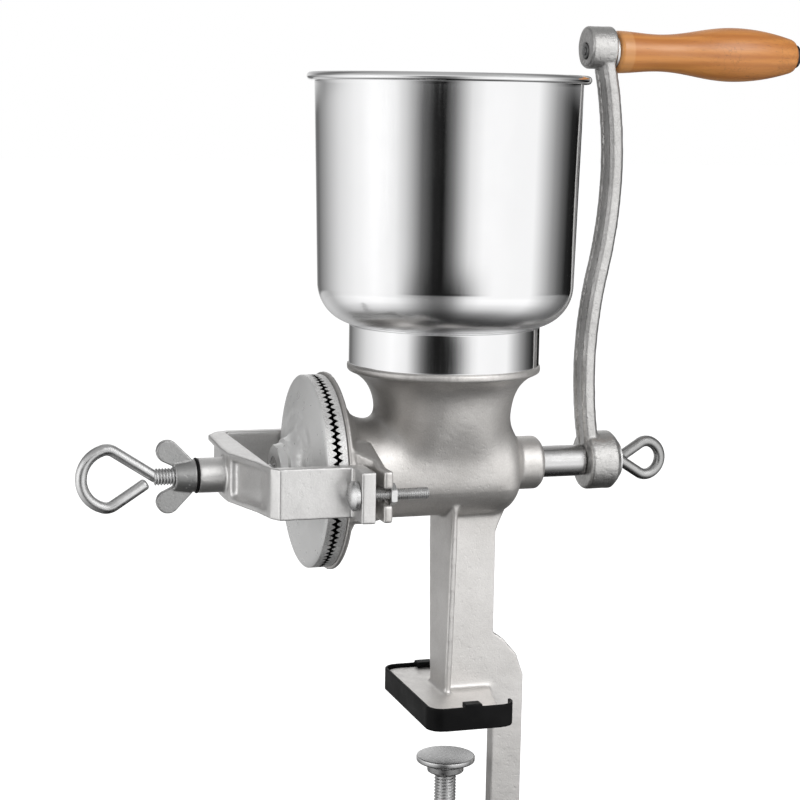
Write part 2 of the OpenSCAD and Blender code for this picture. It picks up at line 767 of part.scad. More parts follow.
// Point on the feed worm's flight, at one step round the shaft and one corner of its section
worm_steps = 20;
worm_inset = 3;
worm_r = barrel_bore_r - 1.2;
worm_start_x = seat_x + worm_inset;
worm_len = bore_end_x - worm_inset - worm_start_x;
worm_turns = (worm_len - worm_root_t)/worm_pitch;
worm_last = ceil(worm_steps*worm_turns);
function worm_corner(step, corner) = let (
        share = step/worm_last,
        turn = 360*worm_turns*share,
        radius = corner < 2 ? worm_core_d/2 - root : worm_r,
        thick = corner < 2 ? worm_root_t : worm_edge_t,
        side = corner == 0 || corner == 3 ? -1 : 1,
        mid = worm_root_t/2 + share*(worm_len - worm_root_t))
    [radius*cos(turn), radius*sin(turn), mid + side*thick/2];

module worm_flight() {
    last = worm_last;
    points = [for (step = [0:last]) for (corner = [0:3]) worm_corner(step, corner)];
    sides = [for (step = [0:last - 1]) for (corner = [0:3]) let (
            a = 4*step + corner,
            b = 4*step + (corner + 1)%4)
        each [[a, a + 4, b], [b, a + 4, b + 4]]];
    polyhedron(points, concat([[0, 1, 2], [0, 2, 3]], sides,
        [[4*last, 4*last + 2, 4*last + 1], [4*last, 4*last + 3, 4*last + 2]]));
}

module feed_auger() {
    color([0.62, 0.62, 0.62]) difference() {
        union() {
            along_shaft(hub_end_x) cylinder(d = shaft_d, h = crank_x - hub_end_x);
            along_shaft(worm_start_x) cylinder(d = worm_core_d, h = worm_len);
            along_shaft(worm_start_x) worm_flight();
            translate([crank_x - past, -drive_square/2, shaft_z - drive_square/2])
                cube([square_len + past, drive_square, drive_square]);
        }
        translate([ball_x, 0, shaft_z]) sphere(d = ball_d + 2*run_gap);
        translate([drive_pin_x, drive_pin_len/2, shaft_z]) rotate([90, 0, 0])
            cylinder(d = drive_pin_d + 2*run_gap, h = drive_pin_len);
        along_shaft(crank_x - screw_depth) cylinder(d = crank_screw_d + 2*run_gap, h = hub_len + screw_depth);
    }
}

module burr_drive_pin() {
    color([0.55, 0.55, 0.56]) translate([drive_pin_x, drive_pin_len/2, shaft_z]) rotate([90, 0, 0])
        cylinder(d = drive_pin_d, h = drive_pin_len);
}

module thrust_ball() {
    color([0.85, 0.85, 0.86]) translate([ball_x, 0, shaft_z]) sphere(d = ball_d);
}

// One half of the yoke seen from above, with the outer edge of its cross bar turning at edge
module yoke_half_plan(edge) {
    polygon([
        [yoke_bar_x, 0],
        [yoke_bar_x, yoke_boss_d/2],
        edge,
        yoke_corner(edge),
        [yoke_pad_x, arm_out_y],
        [yoke_foot_end_x, arm_out_y],
        [yoke_foot_end_x, arm_in_y],
        [yoke_in_x, arm_in_y],
        [yoke_in_x, 0]
    ]);
}

// Rounding point between that edge and the arm's outer face
function yoke_corner(edge) = [
    edge[0] + 0.45*(yoke_pad_x - edge[0]),
    edge[1] + 0.74*(arm_out_y - edge[1])];

// Pocket in the outer face of the yoke's cross bar, seen from above
module yoke_pocket_plan(edge) {
    out_x = yoke_bar_x - past;
    near_y = yoke_boss_d/2 + yoke_ridge;
    far = yoke_corner(edge);
    lean = (edge[0] - yoke_bar_x)*(near_y - yoke_boss_d/2)/(edge[1] - yoke_boss_d/2);
    polygon([
        [out_x, near_y],
        [yoke_bar_x + lean + yoke_pocket, near_y],
        [edge[0] + yoke_pocket, edge[1] - yoke_pocket/2],
        [far[0] - past/2, far[1]],
        [out_x, far[1]]
    ]);
}

module yoke() {
    color([0.80, 0.80, 0.79]) difference() {
        union() {
            translate([0, 0, shaft_z - yoke_h/2]) linear_extrude(yoke_h) {
                yoke_half_plan(yoke_back_edge);
                mirror([0, 1, 0]) yoke_half_plan(yoke_front_edge);
            }
            both_sides() translate([yoke_foot_x, arm_in_y, shaft_z - yoke_h/2])
                cube([yoke_foot_t, foot_out_y - arm_in_y, yoke_h]);
            along_shaft(yoke_end_x) cylinder(d = yoke_boss_d, h = yoke_boss_len + yoke_bar_t/2);
        }
        translate([0, 0, shaft_z - yoke_h/2 + yoke_ridge]) linear_extrude(yoke_h - 2*yoke_ridge) {
            yoke_pocket_plan(yoke_back_edge);
            mirror([0, 1, 0]) yoke_pocket_plan(yoke_front_edge);
        }
        along_shaft(yoke_end_x - past) cylinder(d = screw_d + 2*run_gap, h = yoke_boss_len + yoke_bar_t + 2*past);
        both_sides() along_shaft(yoke_foot_x - past) translate([0, bolt_y, 0])
            cylinder(d = bolt_d + 2*slip_gap, h = yoke_foot_t + 2*past);
    }
}

module yoke_bolts() {
    dome_r = bolt_head_d*0.7;
    color([0.62, 0.62, 0.63]) both_sides() along_shaft(yoke_foot_x) translate([0, bolt_y, 0]) {
        cylinder(d = bolt_d, h = bolt_len);
        mirror([0, 0, 1]) intersection() {
            cylinder(d = bolt_head_d, h = bolt_head_t);
            translate([0, 0, bolt_head_t - dome_r]) sphere(dome_r);
        }
    }
}

module yoke_nuts() {
    color([0.58, 0.58, 0.60]) both_sides() along_shaft(ear_end_x) translate([0, bolt_y, 0]) difference() {
        cylinder(d = nut_af/cos(30), h = nut_t, $fn = 6);
        translate([0, 0, -past]) cylinder(d = bolt_d + 2*run_gap, h = nut_t + 2*past);
    }
}

module adjusting_screw() {
    color([0.78, 0.78, 0.78]) {
        along_shaft(eye_neck_x) cylinder(d = screw_d, h = screw_tip_x - eye_neck_x);
        translate([eye_neck_x + eye_wire/4, 0, shaft_z]) mirror([0, 0, 1]) wire_eye(eye_wire, eye_len, eye_h);
    }
}

module lock_washer() {
    color([0.12, 0.12, 0.12]) along_shaft(wing_x) difference() {
        cylinder(d = yoke_boss_d, h = lock_washer_t);
        translate([0, 0, -past]) cylinder(d = screw_d + 2*slip_gap, h = lock_washer_t + 2*past);
    }
}

module lock_wing_nut() {
    tip_x = wing_x - wing_hub_len - wing_lean;
    lobe_x = tip_x + wing_lobe_r;
    lobe_z = wing_span/2 - wing_lobe_r;
    color([0.74, 0.74, 0.74]) difference() {
        union() {
            along_shaft(wing_x - wing_hub_len)
                cylinder(d1 = wing_hub_d - 3, d2 = wing_hub_d, h = wing_hub_len);
            for (side = [-1, 1]) translate([0, 0, shaft_z]) upright(wing_t) {
                polygon([
                    [wing_x - 1, side*(wing_hub_d/2 - 4)],
                    [wing_x - 2, side*(wing_hub_d/2 + 0.5)],
                    [lobe_x + wing_lobe_r*0.75, side*(lobe_z + wing_lobe_r*0.66)],
                    [lobe_x - wing_lobe_r*0.6, side*(lobe_z - wing_lobe_r*0.8)],
                    [wing_x - wing_hub_len + 1, side*(wing_hub_d/2 - 4)]
                ]);
                translate([lobe_x, side*lobe_z]) circle(wing_lobe_r);
            }
        }
        along_shaft(tip_x) cylinder(d = screw_d + 2*run_gap, h = wing_hub_len + wing_lean + past);
    }
}

// One bow of the crank's arm: an arc of the arm's section about a centre at [x, z]
module arm_bow(centre_x, centre_z, from, sweep, groove_side) {
    radius = arm_r;
    chamfer = 2;
    half_w = arm_w/2;
    translate([centre_x, 0, shaft_z + centre_z]) rotate([90, 0, 0]) rotate([0, 0, from])
        rotate_extrude(angle = sweep) translate([radius, 0]) difference() {
            polygon([
                [-arm_t/2, -half_w + chamfer],
                [-arm_t/2 + chamfer, -half_w],
                [arm_t/2 - chamfer, -half_w],
                [arm_t/2, -half_w + chamfer],
                [arm_t/2, half_w - chamfer],
                [arm_t/2 - chamfer, half_w],
                [-arm_t/2 + chamfer, half_w],
                [-arm_t/2, half_w - chamfer]
            ]);
            translate([groove_side*arm_t/2 - arm_groove, -arm_w/5]) square([2*arm_groove, arm_w/2.5]);
        }
}

module crank_arm() {
    color([0.70, 0.70, 0.69]) difference() {
        union() {
            // Lower bow, with its centre on the crank's outer side
            arm_bow(arm_left_x + arm_r, arm_low, 180 - arm_half, arm_half + arm_low_a, 1);
            // Upper bow, with its centre on the hopper's side
            arm_bow(arm_right_x - arm_r, arm_top_z, -arm_half, arm_half + arm_top_a, -1);
            along_shaft(crank_x) turned([
                [0, 0],
                [hub_d/2 - 1.5, 0],
                [hub_d/2, 1.5],
                [hub_d/2, hub_len - 3],
                [hub_d/2 - 3, hub_len],
                [0, hub_len]
            ]);
            along_shaft(grip_boss_x, grip_z + grip_boss_rise) turned([
                [0, 0],
                [grip_boss_d/2 - 1, 0],
                [grip_boss_d/2, 1],
                [grip_boss_d/2, grip_boss_len - 1],
                [grip_boss_d/2 - 1, grip_boss_len],
                [0, grip_boss_len]
            ]);
        }
        // Square seat on the shaft
        translate([crank_x - past, -drive_square/2 - run_gap, shaft_z - drive_square/2 - run_gap])
            cube([hub_len + 2*past, drive_square + 2*run_gap, drive_square + 2*run_gap]);
        // Flat face for the grip's washer
        along_shaft(grip_washer_x, grip_z) cylinder(d = grip_near_d + 2*past, h = grip_boss_len);
        // Hole for the grip's bolt
        along_shaft(grip_boss_x - past, grip_z) cylinder(d = grip_bolt_d + 2*run_gap, h = grip_boss_len + 2*past);
    }
}

module crank_washer() {
    color([0.60, 0.60, 0.61]) along_shaft(hub_end) difference() {
        cylinder(d = drive_square*1.8, h = crank_washer_t);
        translate([0, 0, -past]) cylinder(d = crank_screw_d + 2*slip_gap, h = crank_washer_t + 2*past);
    }
}

module crank_eye_screw() {
    neck_x = hub_end + crank_washer_t + 3;
    tip_x = crank_x - screw_depth + 2;
    color([0.70, 0.70, 0.70]) {
        along_shaft(tip_x) cylinder(d = crank_screw_d, h = neck_x - tip_x);
        along_shaft(hub_end + crank_washer_t) cylinder(d = crank_screw_d + 3, h = 2);
        translate([neck_x - crank_eye_wire/4, 0, shaft_z]) mirror([1, 0, 0])
            wire_eye(crank_eye_wire, crank_eye_len, crank_eye_h);
    }
}

module grip_washer() {
    color([0.55, 0.55, 0.56]) along_shaft(grip_washer_x, grip_z) difference() {
        cylinder(d = grip_near_d - 4, h = grip_washer_t);
        translate([0, 0, -past]) cylinder(d = grip_bolt_d + 2*slip_gap, h = grip_washer_t + 2*past);
    }
}

module grip_bolt() {
    head_x = grip_end_x + slip_gap;
    color([0.20, 0.20, 0.21]) {
        along_shaft(grip_boss_x - 0.8, grip_z) cylinder(d = grip_bolt_d, h = head_x - grip_boss_x + 0.8);
        along_shaft(head_x, grip_z) turned([
            [0, 0],
            [grip_head_d/2, 0],
            [grip_head_d/2, grip_head_t*0.6],
            [grip_head_d/2 - 1.6, grip_head_t],
            [0, grip_head_t]
        ]);
    }
}

// Radius of the grip at a share of its length: a waist near the crank and a belly past the middle
function ease(share) = (1 - cos(180*share))/2;
function grip_radius(share) =
    share < 0.24 ? grip_near_d/2 + (grip_neck_d - grip_near_d)/2*ease(share/0.24) :
    share < 0.65 ? grip_neck_d/2 + (grip_belly_d - grip_neck_d)/2*ease((share - 0.24)/0.41) :
    grip_far_d/2 + (grip_belly_d - grip_far_d)/2*(1 - pow((share - 0.65)/0.35, 2));

module handle_grip() {
    steps = 30;
    edge = 1.5;
    color([0.80, 0.52, 0.27]) along_shaft(grip_x, grip_z) difference() {
        turned(concat(
            [[0, 0], [grip_near_d/2 - edge, 0]],
            [for (i = [0:steps]) [grip_radius(i/steps), max(edge, grip_len*i/steps)]],
            [[0, grip_len]]));
        translate([0, 0, -past]) cylinder(d = grip_bolt_d + 2*run_gap, h = grip_len + 2*past);
    }
}

module foot_boot() {
    tab_w = 9;
    tab_reach = 5;
    open_y = foot_l/2 - foot_corner_r - boot_return;
    color([0.05, 0.05, 0.05]) {
        difference() {
            linear_extrude(boot_h) foot_room(boot_wall);
            translate([0, 0, boot_floor]) linear_extrude(boot_h) foot_room(0);
            // Open side where the casting runs on into the clamp's spine
            translate([foot_w/2 - past, -open_y, boot_floor]) cube([boot_wall + 2*past, 2*open_y, boot_h]);
        }
        // Tabs that hook over the foot plate
        both_sides() translate([-tab_w/2, foot_l/2 - tab_reach, plate_top_z])
            cube([tab_w, tab_reach + boot_wall, boot_lip + 1.4]);
    }
}

module clamp_pad() {
    color([0.66, 0.66, 0.66]) translate([0, 0, pad_z]) difference() {
        turned([
            [0, 0],
            [clamp_d/2 + 4, 0],
            [clamp_d/2 + 4, pad_t - 4],
            [pad_d/2, pad_t - 3],
            [pad_d/2, pad_t],
            [0, pad_t]
        ]);
        translate([0, 0, -past]) cylinder(r = clamp_pin_r + run_gap, h = pad_socket + past);
    }
}

module clamp_screw() {
    color([0.72, 0.72, 0.72]) {
        turned([
            [0, clamp_neck_z],
            [clamp_d/2, clamp_neck_z],
            [clamp_d/2, pad_z - slip_gap],
            [clamp_pin_r, pad_z - slip_gap],
            [clamp_pin_r, pad_z + pad_socket - run_gap],
            [0, pad_z + pad_socket - run_gap]
        ]);
        translate([0, 0, clamp_neck_z + clamp_eye_wire/4]) rotate([0, -90, 0])
            wire_eye(clamp_eye_wire, clamp_eye_len, clamp_eye_h);
    }
}

mill_body();
hopper_bowl();
hopper_collar();
fixed_burr();
burr_locating_pins();
turning_burr();
feed_auger();
burr_drive_pin();
thrust_ball();
yoke();
yoke_bolts();
yoke_nuts();
adjusting_screw();
lock_washer();
lock_wing_nut();
crank_arm();
crank_washer();
crank_eye_screw();
grip_washer();
grip_bolt();
handle_grip();
foot_boot();
clamp_pad();
clamp_screw();
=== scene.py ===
import bmesh
import bpy
import math
from mathutils import Matrix, Vector, noise as noiseMap


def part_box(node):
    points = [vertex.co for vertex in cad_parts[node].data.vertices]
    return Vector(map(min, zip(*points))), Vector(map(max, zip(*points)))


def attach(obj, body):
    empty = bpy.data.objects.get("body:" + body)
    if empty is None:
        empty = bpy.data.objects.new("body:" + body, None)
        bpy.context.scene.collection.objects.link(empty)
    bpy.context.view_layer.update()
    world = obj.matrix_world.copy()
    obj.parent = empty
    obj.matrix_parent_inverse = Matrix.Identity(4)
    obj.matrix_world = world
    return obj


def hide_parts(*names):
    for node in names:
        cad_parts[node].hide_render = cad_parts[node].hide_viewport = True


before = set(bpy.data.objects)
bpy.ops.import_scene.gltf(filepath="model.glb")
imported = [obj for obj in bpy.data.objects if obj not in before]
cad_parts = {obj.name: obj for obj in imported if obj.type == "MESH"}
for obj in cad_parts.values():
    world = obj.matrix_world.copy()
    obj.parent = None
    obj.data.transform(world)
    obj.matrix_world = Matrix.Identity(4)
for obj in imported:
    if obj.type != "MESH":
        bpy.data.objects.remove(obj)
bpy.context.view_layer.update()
mm = 0.001
shaftZ = 133.0  # height of the shaft, mm
hopperX = -6.0  # the hopper stands a little behind the foot's middle, mm


# camera
view = dict(azimuth=17.627, tilt=8.519, roll=1.0, distance=1046.7, lookAt=(-29.76, 0.0, 169.1),  # degrees, mm
            lens=89.21, sensor=36.0, near=0.05, far=50.0)


def newObject(name, data):
    made = bpy.data.objects.new(name, data)
    bpy.context.scene.collection.objects.link(made)
    return made


def makeCamera():
    a, e, roll = (math.radians(view[k]) for k in ("azimuth", "tilt", "roll"))
    ahead = Vector((math.sin(a) * math.cos(e), math.cos(a) * math.cos(e), -math.sin(e)))
    right = Vector((math.cos(a), -math.sin(a), 0))
    up = right.cross(ahead)
    side = right * math.cos(roll) + up * math.sin(roll)
    top = up * math.cos(roll) - right * math.sin(roll)
    data = bpy.data.cameras.new("photoCamera")
    data.lens = view["lens"]
    data.sensor_width = view["sensor"]
    data.clip_start, data.clip_end = view["near"], view["far"]
    camera = newObject("photoCamera", data)
    turn = Matrix((side, top, -ahead)).transposed().to_4x4()
    place = Vector(view["lookAt"]) * mm - ahead * view["distance"] * mm
    camera.matrix_world = Matrix.Translation(place) @ turn
    bpy.context.scene.camera = camera


makeCamera()
print("camera placed")


# mesh helpers, all in millimetres until the mesh is made

def addPiece(name, points, faces, sharp=38):
    mesh = bpy.data.meshes.new(name)
    mesh.from_pydata([Vector(p) * mm for p in points], [], faces)
    mesh.update()
    tidyNormals(mesh)
    mesh.shade_smooth()
    mesh.set_sharp_from_angle(angle=math.radians(sharp))
    return newObject(name, mesh)


def tidyNormals(mesh):
    work = bmesh.new()
    work.from_mesh(mesh)
    bmesh.ops.recalc_face_normals(work, faces=work.faces)
    work.to_mesh(mesh)
    work.free()


def finishPiece(piece, body, slot, material, *nodes):
    piece.data.materials.clear()
    piece.data.materials.append(material)
    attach(piece, body)
    if nodes:
        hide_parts(*nodes)
    return piece


def rounded(corners, steps=6):
    # corners are (radius, height, fillet); each fillet becomes an arc
    out = []
    count = len(corners)
    for i, (r, h, fillet) in enumerate(corners):
        here = Vector((r, h))
        if fillet <= 0:
            out.append((r, h))
            continue
        before = Vector(corners[(i - 1) % count][:2]) - here
        after = Vector(corners[(i + 1) % count][:2]) - here
        angle = before.angle(after)
        reach = min(fillet / math.tan(angle / 2), before.length * 0.49, after.length * 0.49)
        radius = reach * math.tan(angle / 2)
        centre = here + (before.normalized() + after.normalized()).normalized() * (radius / math.sin(angle / 2))
        start = here + before.normalized() * reach - centre
        end = here + after.normalized() * reach - centre
        sweep = start.angle_signed(end)
        for k in range(steps + 1):
            turned = start.copy()
            turned.rotate(Matrix.Rotation(-sweep * k / steps, 2))
            out.append(tuple(centre + turned))
    return out


def place(axis, origin, r, h, angle):
    # a point of a turned shape: r from the axis, h along it
    c, s = r * math.cos(angle), r * math.sin(angle)
    if axis == "x":
        return (origin[0] + h, origin[1] + c, origin[2] + s)
    return (origin[0] + c, origin[1] + s, origin[2] + h)


def supported(profile, near=0.35):
    # extra rows close to the ends of long straight runs, so that shading stays flat along them
    out = []
    for i, here in enumerate(profile):
        out.append(here)
        nextOne = profile[(i + 1) % len(profile)]
        run = math.dist(here, nextOne)
        if run > 8 * near and min(here[0], nextOne[0]) > 1e-6:
            for share in (near / run, 1 - near / run):
                out.append((here[0] + (nextOne[0] - here[0]) * share, here[1] + (nextOne[1] - here[1]) * share))
    return out


def turnedPiece(name, profile, axis, origin, around=128, shift=None, sharp=38):
    # the profile is a closed loop; shift(row, angle) may move a point along the axis
    points, rings, faces = [], [], []
    for index, (r, h) in enumerate(profile):
        if r < 1e-6:
            rings.append([len(points)] * around)
            points.append(place(axis, origin, 0, h, 0))
            continue
        rings.append(list(range(len(points), len(points) + around)))
        for k in range(around):
            angle = 2 * math.pi * k / around
            moved = h + (shift(index, angle) if shift else 0)
            points.append(place(axis, origin, r, moved, angle))
    count = len(rings)
    for i in range(count):
        a, b = rings[i], rings[(i + 1) % count]
        if a[0] == a[1] and b[0] == b[1]:
            continue
        for k in range(around):
            n = (k + 1) % around
            loop = [a[k], a[n], b[n], b[k]]
            faces.append([v for j, v in enumerate(loop) if v not in loop[:j]])
    return addPiece(name, points, faces, sharp)


def castCopy(name, node, voxel, passes, spots=(), lump=0.0, lumpSize=7.0):
    # a softened copy of a cast piece; spots are (test, passes) that blend a region further
    piece = newObject(name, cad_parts[node].data.copy())
    weld = piece.modifiers.new("weld", "WELD")
    weld.merge_threshold = 1e-6
    grid = piece.modifiers.new("grid", "REMESH")
    grid.mode = "VOXEL"
    grid.voxel_size = voxel * mm
    bakeModifiers(piece)
    for number, (test, times) in enumerate(spots):
        group = piece.vertex_groups.new(name=f"spot{number}")
        for v in piece.data.vertices:
            weight = test(*(v.co / mm))
            if weight > 0:
                group.add([v.index], weight, "REPLACE")
        blendIn = piece.modifiers.new("blend", "SMOOTH")
        blendIn.factor = 0.5
        blendIn.iterations = times
        blendIn.vertex_group = group.name
    soften = piece.modifiers.new("soften", "SMOOTH")
    soften.factor = 0.5
    soften.iterations = passes
    bakeModifiers(piece)
    if lump:
        addLumps(piece.data, lump, lumpSize)
    piece.data.shade_smooth()
    return piece


def addLumps(mesh, depth, size, test=None):
    # uneven cast skin, always inwards
    moves = []
    for v in mesh.vertices:
        if test and not test(*(v.co / mm)):
            continue
        spot = v.co / (size * mm)
        wave = 0.65 * noiseMap.noise(spot) + 0.35 * noiseMap.noise(spot * 2.7)
        moves.append((v, v.co - v.normal * depth * mm * (0.5 + 0.5 * wave)))
    for v, spot in moves:
        v.co = spot
    mesh.update()


def bakeModifiers(piece):
    graph = bpy.context.evaluated_depsgraph_get()
    made = bpy.data.meshes.new_from_object(piece.evaluated_get(graph))
    old = piece.data
    piece.modifiers.clear()
    piece.vertex_groups.clear()
    piece.data = made
    made.name = piece.name
    bpy.data.meshes.remove(old)


def ringFaces(rings, around, loop=False):
    # quads between rings of points: a closed loop of rings, or a rod with two end caps
    faces = []
    for i in range(rings if loop else rings - 1):
        j = (i + 1) % rings
        for k in range(around):
            n = (k + 1) % around
            faces.append([i * around + k, i * around + n, j * around + n, j * around + k])
    if not loop:
        faces += [list(range(around)), list(range((rings - 1) * around, rings * around))]
    return faces


threadShape = dict(depth=0.55, endShare=0.55, endSlope=0.6)  # depth by pitch, chamfered ends


def threadedRod(name, start, end, radius, pitch, axis, origin, around=36, perTurn=10):
    # a right-hand thread cut into a rod, with both ends closed and chamfered
    depth = threadShape["depth"] * pitch
    length = end - start
    rows = max(8, round(length / pitch * perTurn))
    points = []
    for i in range(rows + 1):
        h = start + length * i / rows
        edge = min(h - start, end - h)
        for k in range(around):
            angle = 2 * math.pi * k / around
            wave = abs(2 * ((h / pitch - k / around) % 1.0) - 1)
            ease = min(1.0, threadShape["endShare"] + edge / pitch * threadShape["endSlope"])
            r = (radius - depth * (1 - wave)) * ease
            points.append(place(axis, origin, r, h, angle))
    return addPiece(name, points, ringFaces(rows + 1, around), 60)


eyeShape = dict(bend=1.15, corner=0.66, endLong=0.6, endPower=0.7, endSteps=4)  # shares of wire and reach


def eyePath(eye, steps=16):
    # middle line of a bent wire eye as (along, height, outward angle)
    wire, length, height = eye["wire"], eye["length"], eye["height"]
    bendR = wire * eyeShape["bend"]
    reach = length - wire / 2
    cornerZ = height / 2 - wire / 2 - bendR
    cornerX = reach * eyeShape["corner"]
    inset = reach - cornerX
    capR = (inset ** 2 + cornerZ ** 2 - bendR ** 2) / (2 * (inset - bendR))
    capX = reach - capR
    legA = math.atan2(cornerZ, cornerX) + math.asin(bendR / math.hypot(cornerX, cornerZ))
    capA = math.atan2(cornerZ, cornerX - capX)
    stop = wire * eye["stopAt"] / math.sin(2 * legA)
    quarter = math.pi / 2
    bend = (quarter + legA - capA) / steps
    path = [(0.0, 0.0, -quarter - legA)]
    for i in range(steps + 1):
        a = -quarter - legA + i * bend
        path.append((cornerX + bendR * math.cos(a), -cornerZ + bendR * math.sin(a), a))
    for i in range(1, steps):
        a = capA * (2 * i / steps - 1)
        path.append((capX + capR * math.cos(a), capR * math.sin(a), a))
    for i in range(steps + 1):
        a = capA + i * bend
        path.append((cornerX + bendR * math.cos(a), cornerZ + bendR * math.sin(a), a))
    path.append((stop * math.cos(legA), stop * math.sin(legA), quarter + legA))
    return path


def wireEye(name, eye, toFrame, sides=24):
    # toFrame(along, across, height) gives a point of the frame
    path = eyePath(eye)
    radius = eye["wire"] / 2
    points = []
    rings = [(p, radius) for p in path]
    last, legA = path[-1], path[-1][2] - math.pi / 2
    for k in range(1, eyeShape["endSteps"]):  # rounded free end
        bent = k * math.pi / 2 / eyeShape["endSteps"]
        lift = math.sin(bent) * radius * eyeShape["endLong"]
        rings.append(((last[0] - lift * math.cos(legA), last[1] - lift * math.sin(legA), last[2]),
                      radius * math.cos(bent) ** eyeShape["endPower"]))
    for (along, height, out), r in rings:
        for k in range(sides):
            a = 2 * math.pi * k / sides
            step = r * math.cos(a)
            points.append(toFrame(along + step * math.cos(out), r * math.sin(a), height + step * math.sin(out)))
    return addPiece(name, points, ringFaces(len(rings), sides), 50)


# shader helpers

class Shader:
    def __init__(self, name):
        self.material = bpy.data.materials.new(name)
        self.material.use_nodes = True
        self.tree = self.material.node_tree
        self.nodes, self.links = self.tree.nodes, self.tree.links
        self.surface = self.nodes["Principled BSDF"]

    def set(self, **values):
        for key, value in values.items():
            self.surface.inputs[key.replace("_", " ")].default_value = value

    def group(self, tree, **values):
        node = self.nodes.new("ShaderNodeGroup")
        node.node_tree = tree
        for key, value in values.items():
            node.inputs[key.replace("_", " ")].default_value = value
        return node

    def join(self, output, socket):
        self.links.new(output, self.surface.inputs[socket])

    def bump(self, height, distance):
        node = self.nodes.new("ShaderNodeBump")
        node.inputs["Distance"].default_value = distance
        self.links.new(height, node.inputs["Height"])
        self.join(node.outputs["Normal"], "Normal")


def newGroup(name, inputs, outputs):
    tree = bpy.data.node_groups.new(name, "ShaderNodeTree")
    for label, kind, value in inputs:
        socket = tree.interface.new_socket(name=label, in_out="INPUT", socket_type=kind)
        socket.default_value = value
    for label, kind in outputs:
        tree.interface.new_socket(name=label, in_out="OUTPUT", socket_type=kind)
    return tree, tree.nodes.new("NodeGroupInput"), tree.nodes.new("NodeGroupOutput")


def feed(tree, value, socket):
    # a socket is linked, a number or a colour is set
    if isinstance(value, bpy.types.NodeSocket):
        tree.links.new(value, socket)
    else:
        socket.default_value = value


def mixColour(tree, factor, a, b):
    node = tree.nodes.new("ShaderNodeMix")
    node.data_type = "RGBA"
    for value, socket in ((factor, node.inputs["Factor"]), (a, node.inputs[6]), (b, node.inputs[7])):
        feed(tree, value, socket)  # 6, 7 and output 2 are the colours
    return node.outputs[2]


def reckon(tree, operation, *values):
    node = tree.nodes.new("ShaderNodeMath")
    node.operation = operation
    for value, socket in zip(values, node.inputs):
        feed(tree, value, socket)
    return node.outputs[0]


def remap(tree, value, low, high, toLow=0.0, toHigh=1.0):
    node = tree.nodes.new("ShaderNodeMapRange")
    tree.links.new(value, node.inputs["Value"])
    for key, number in (("From Min", low), ("From Max", high), ("To Min", toLow), ("To Max", toHigh)):
        feed(tree, number, node.inputs[key])
    return node.outputs["Result"]


def onPiece(tree):
    return tree.nodes.new("ShaderNodeTexCoord").outputs["Object"]


def noise(tree, scale, detail=3.0, rough=0.55, vector=None):
    node = tree.nodes.new("ShaderNodeTexNoise")
    node.inputs["Detail"].default_value = detail
    node.inputs["Roughness"].default_value = rough
    feed(tree, scale, node.inputs["Scale"])
    if vector is None:
        vector = onPiece(tree)
    tree.links.new(vector, node.inputs["Vector"])
    return node.outputs["Fac"]


def spotOf(tree, axis):
    # where on the piece, along one axis, in metres
    parts = tree.nodes.new("ShaderNodeSeparateXYZ")
    tree.links.new(onPiece(tree), parts.inputs["Vector"])
    return parts.outputs[axis]


def castGroup():
    # sand-cast skin: cloudy tone, grain that stands up, brighter worn edges
    tree, given, made = newGroup("castSkin", [
        ("Tone", "NodeSocketColor", (0.5, 0.5, 0.5, 1)),
        ("Shade", "NodeSocketColor", (0.4, 0.4, 0.4, 1)),
        ("Worn", "NodeSocketColor", (0.7, 0.7, 0.7, 1)),
        ("Grain Scale", "NodeSocketFloat", 900.0),
        ("Rough Low", "NodeSocketFloat", 0.3),
        ("Rough High", "NodeSocketFloat", 0.5),
        ("Edge Low", "NodeSocketFloat", 0.53),
        ("Edge High", "NodeSocketFloat", 0.62),
    ], [("Color", "NodeSocketColor"), ("Roughness", "NodeSocketFloat"), ("Height", "NodeSocketFloat")])
    clouds = noise(tree, 38.0, 4.0)  # broad patches
    grain = noise(tree, given.outputs["Grain Scale"], 4.0, 0.62)
    pits = noise(tree, 420.0, 2.0)  # small holes in the skin
    both = reckon(tree, "ADD", reckon(tree, "MULTIPLY", clouds, 0.6), reckon(tree, "MULTIPLY", grain, 0.4))
    tone = mixColour(tree, remap(tree, both, 0.35, 0.65), given.outputs["Shade"], given.outputs["Tone"])
    pointed = tree.nodes.new("ShaderNodeNewGeometry").outputs["Pointiness"]
    worn = remap(tree, pointed, given.outputs["Edge Low"], given.outputs["Edge High"])
    tree.links.new(mixColour(tree, worn, tone, given.outputs["Worn"]), made.inputs["Color"])
    rough = remap(tree, both, 0.35, 0.65, given.outputs["Rough High"], given.outputs["Rough Low"])
    tree.links.new(rough, made.inputs["Roughness"])
    dents = reckon(tree, "MULTIPLY", remap(tree, pits, 0.58, 0.72), -0.6)
    tree.links.new(reckon(tree, "ADD", grain, dents), made.inputs["Height"])
    return tree


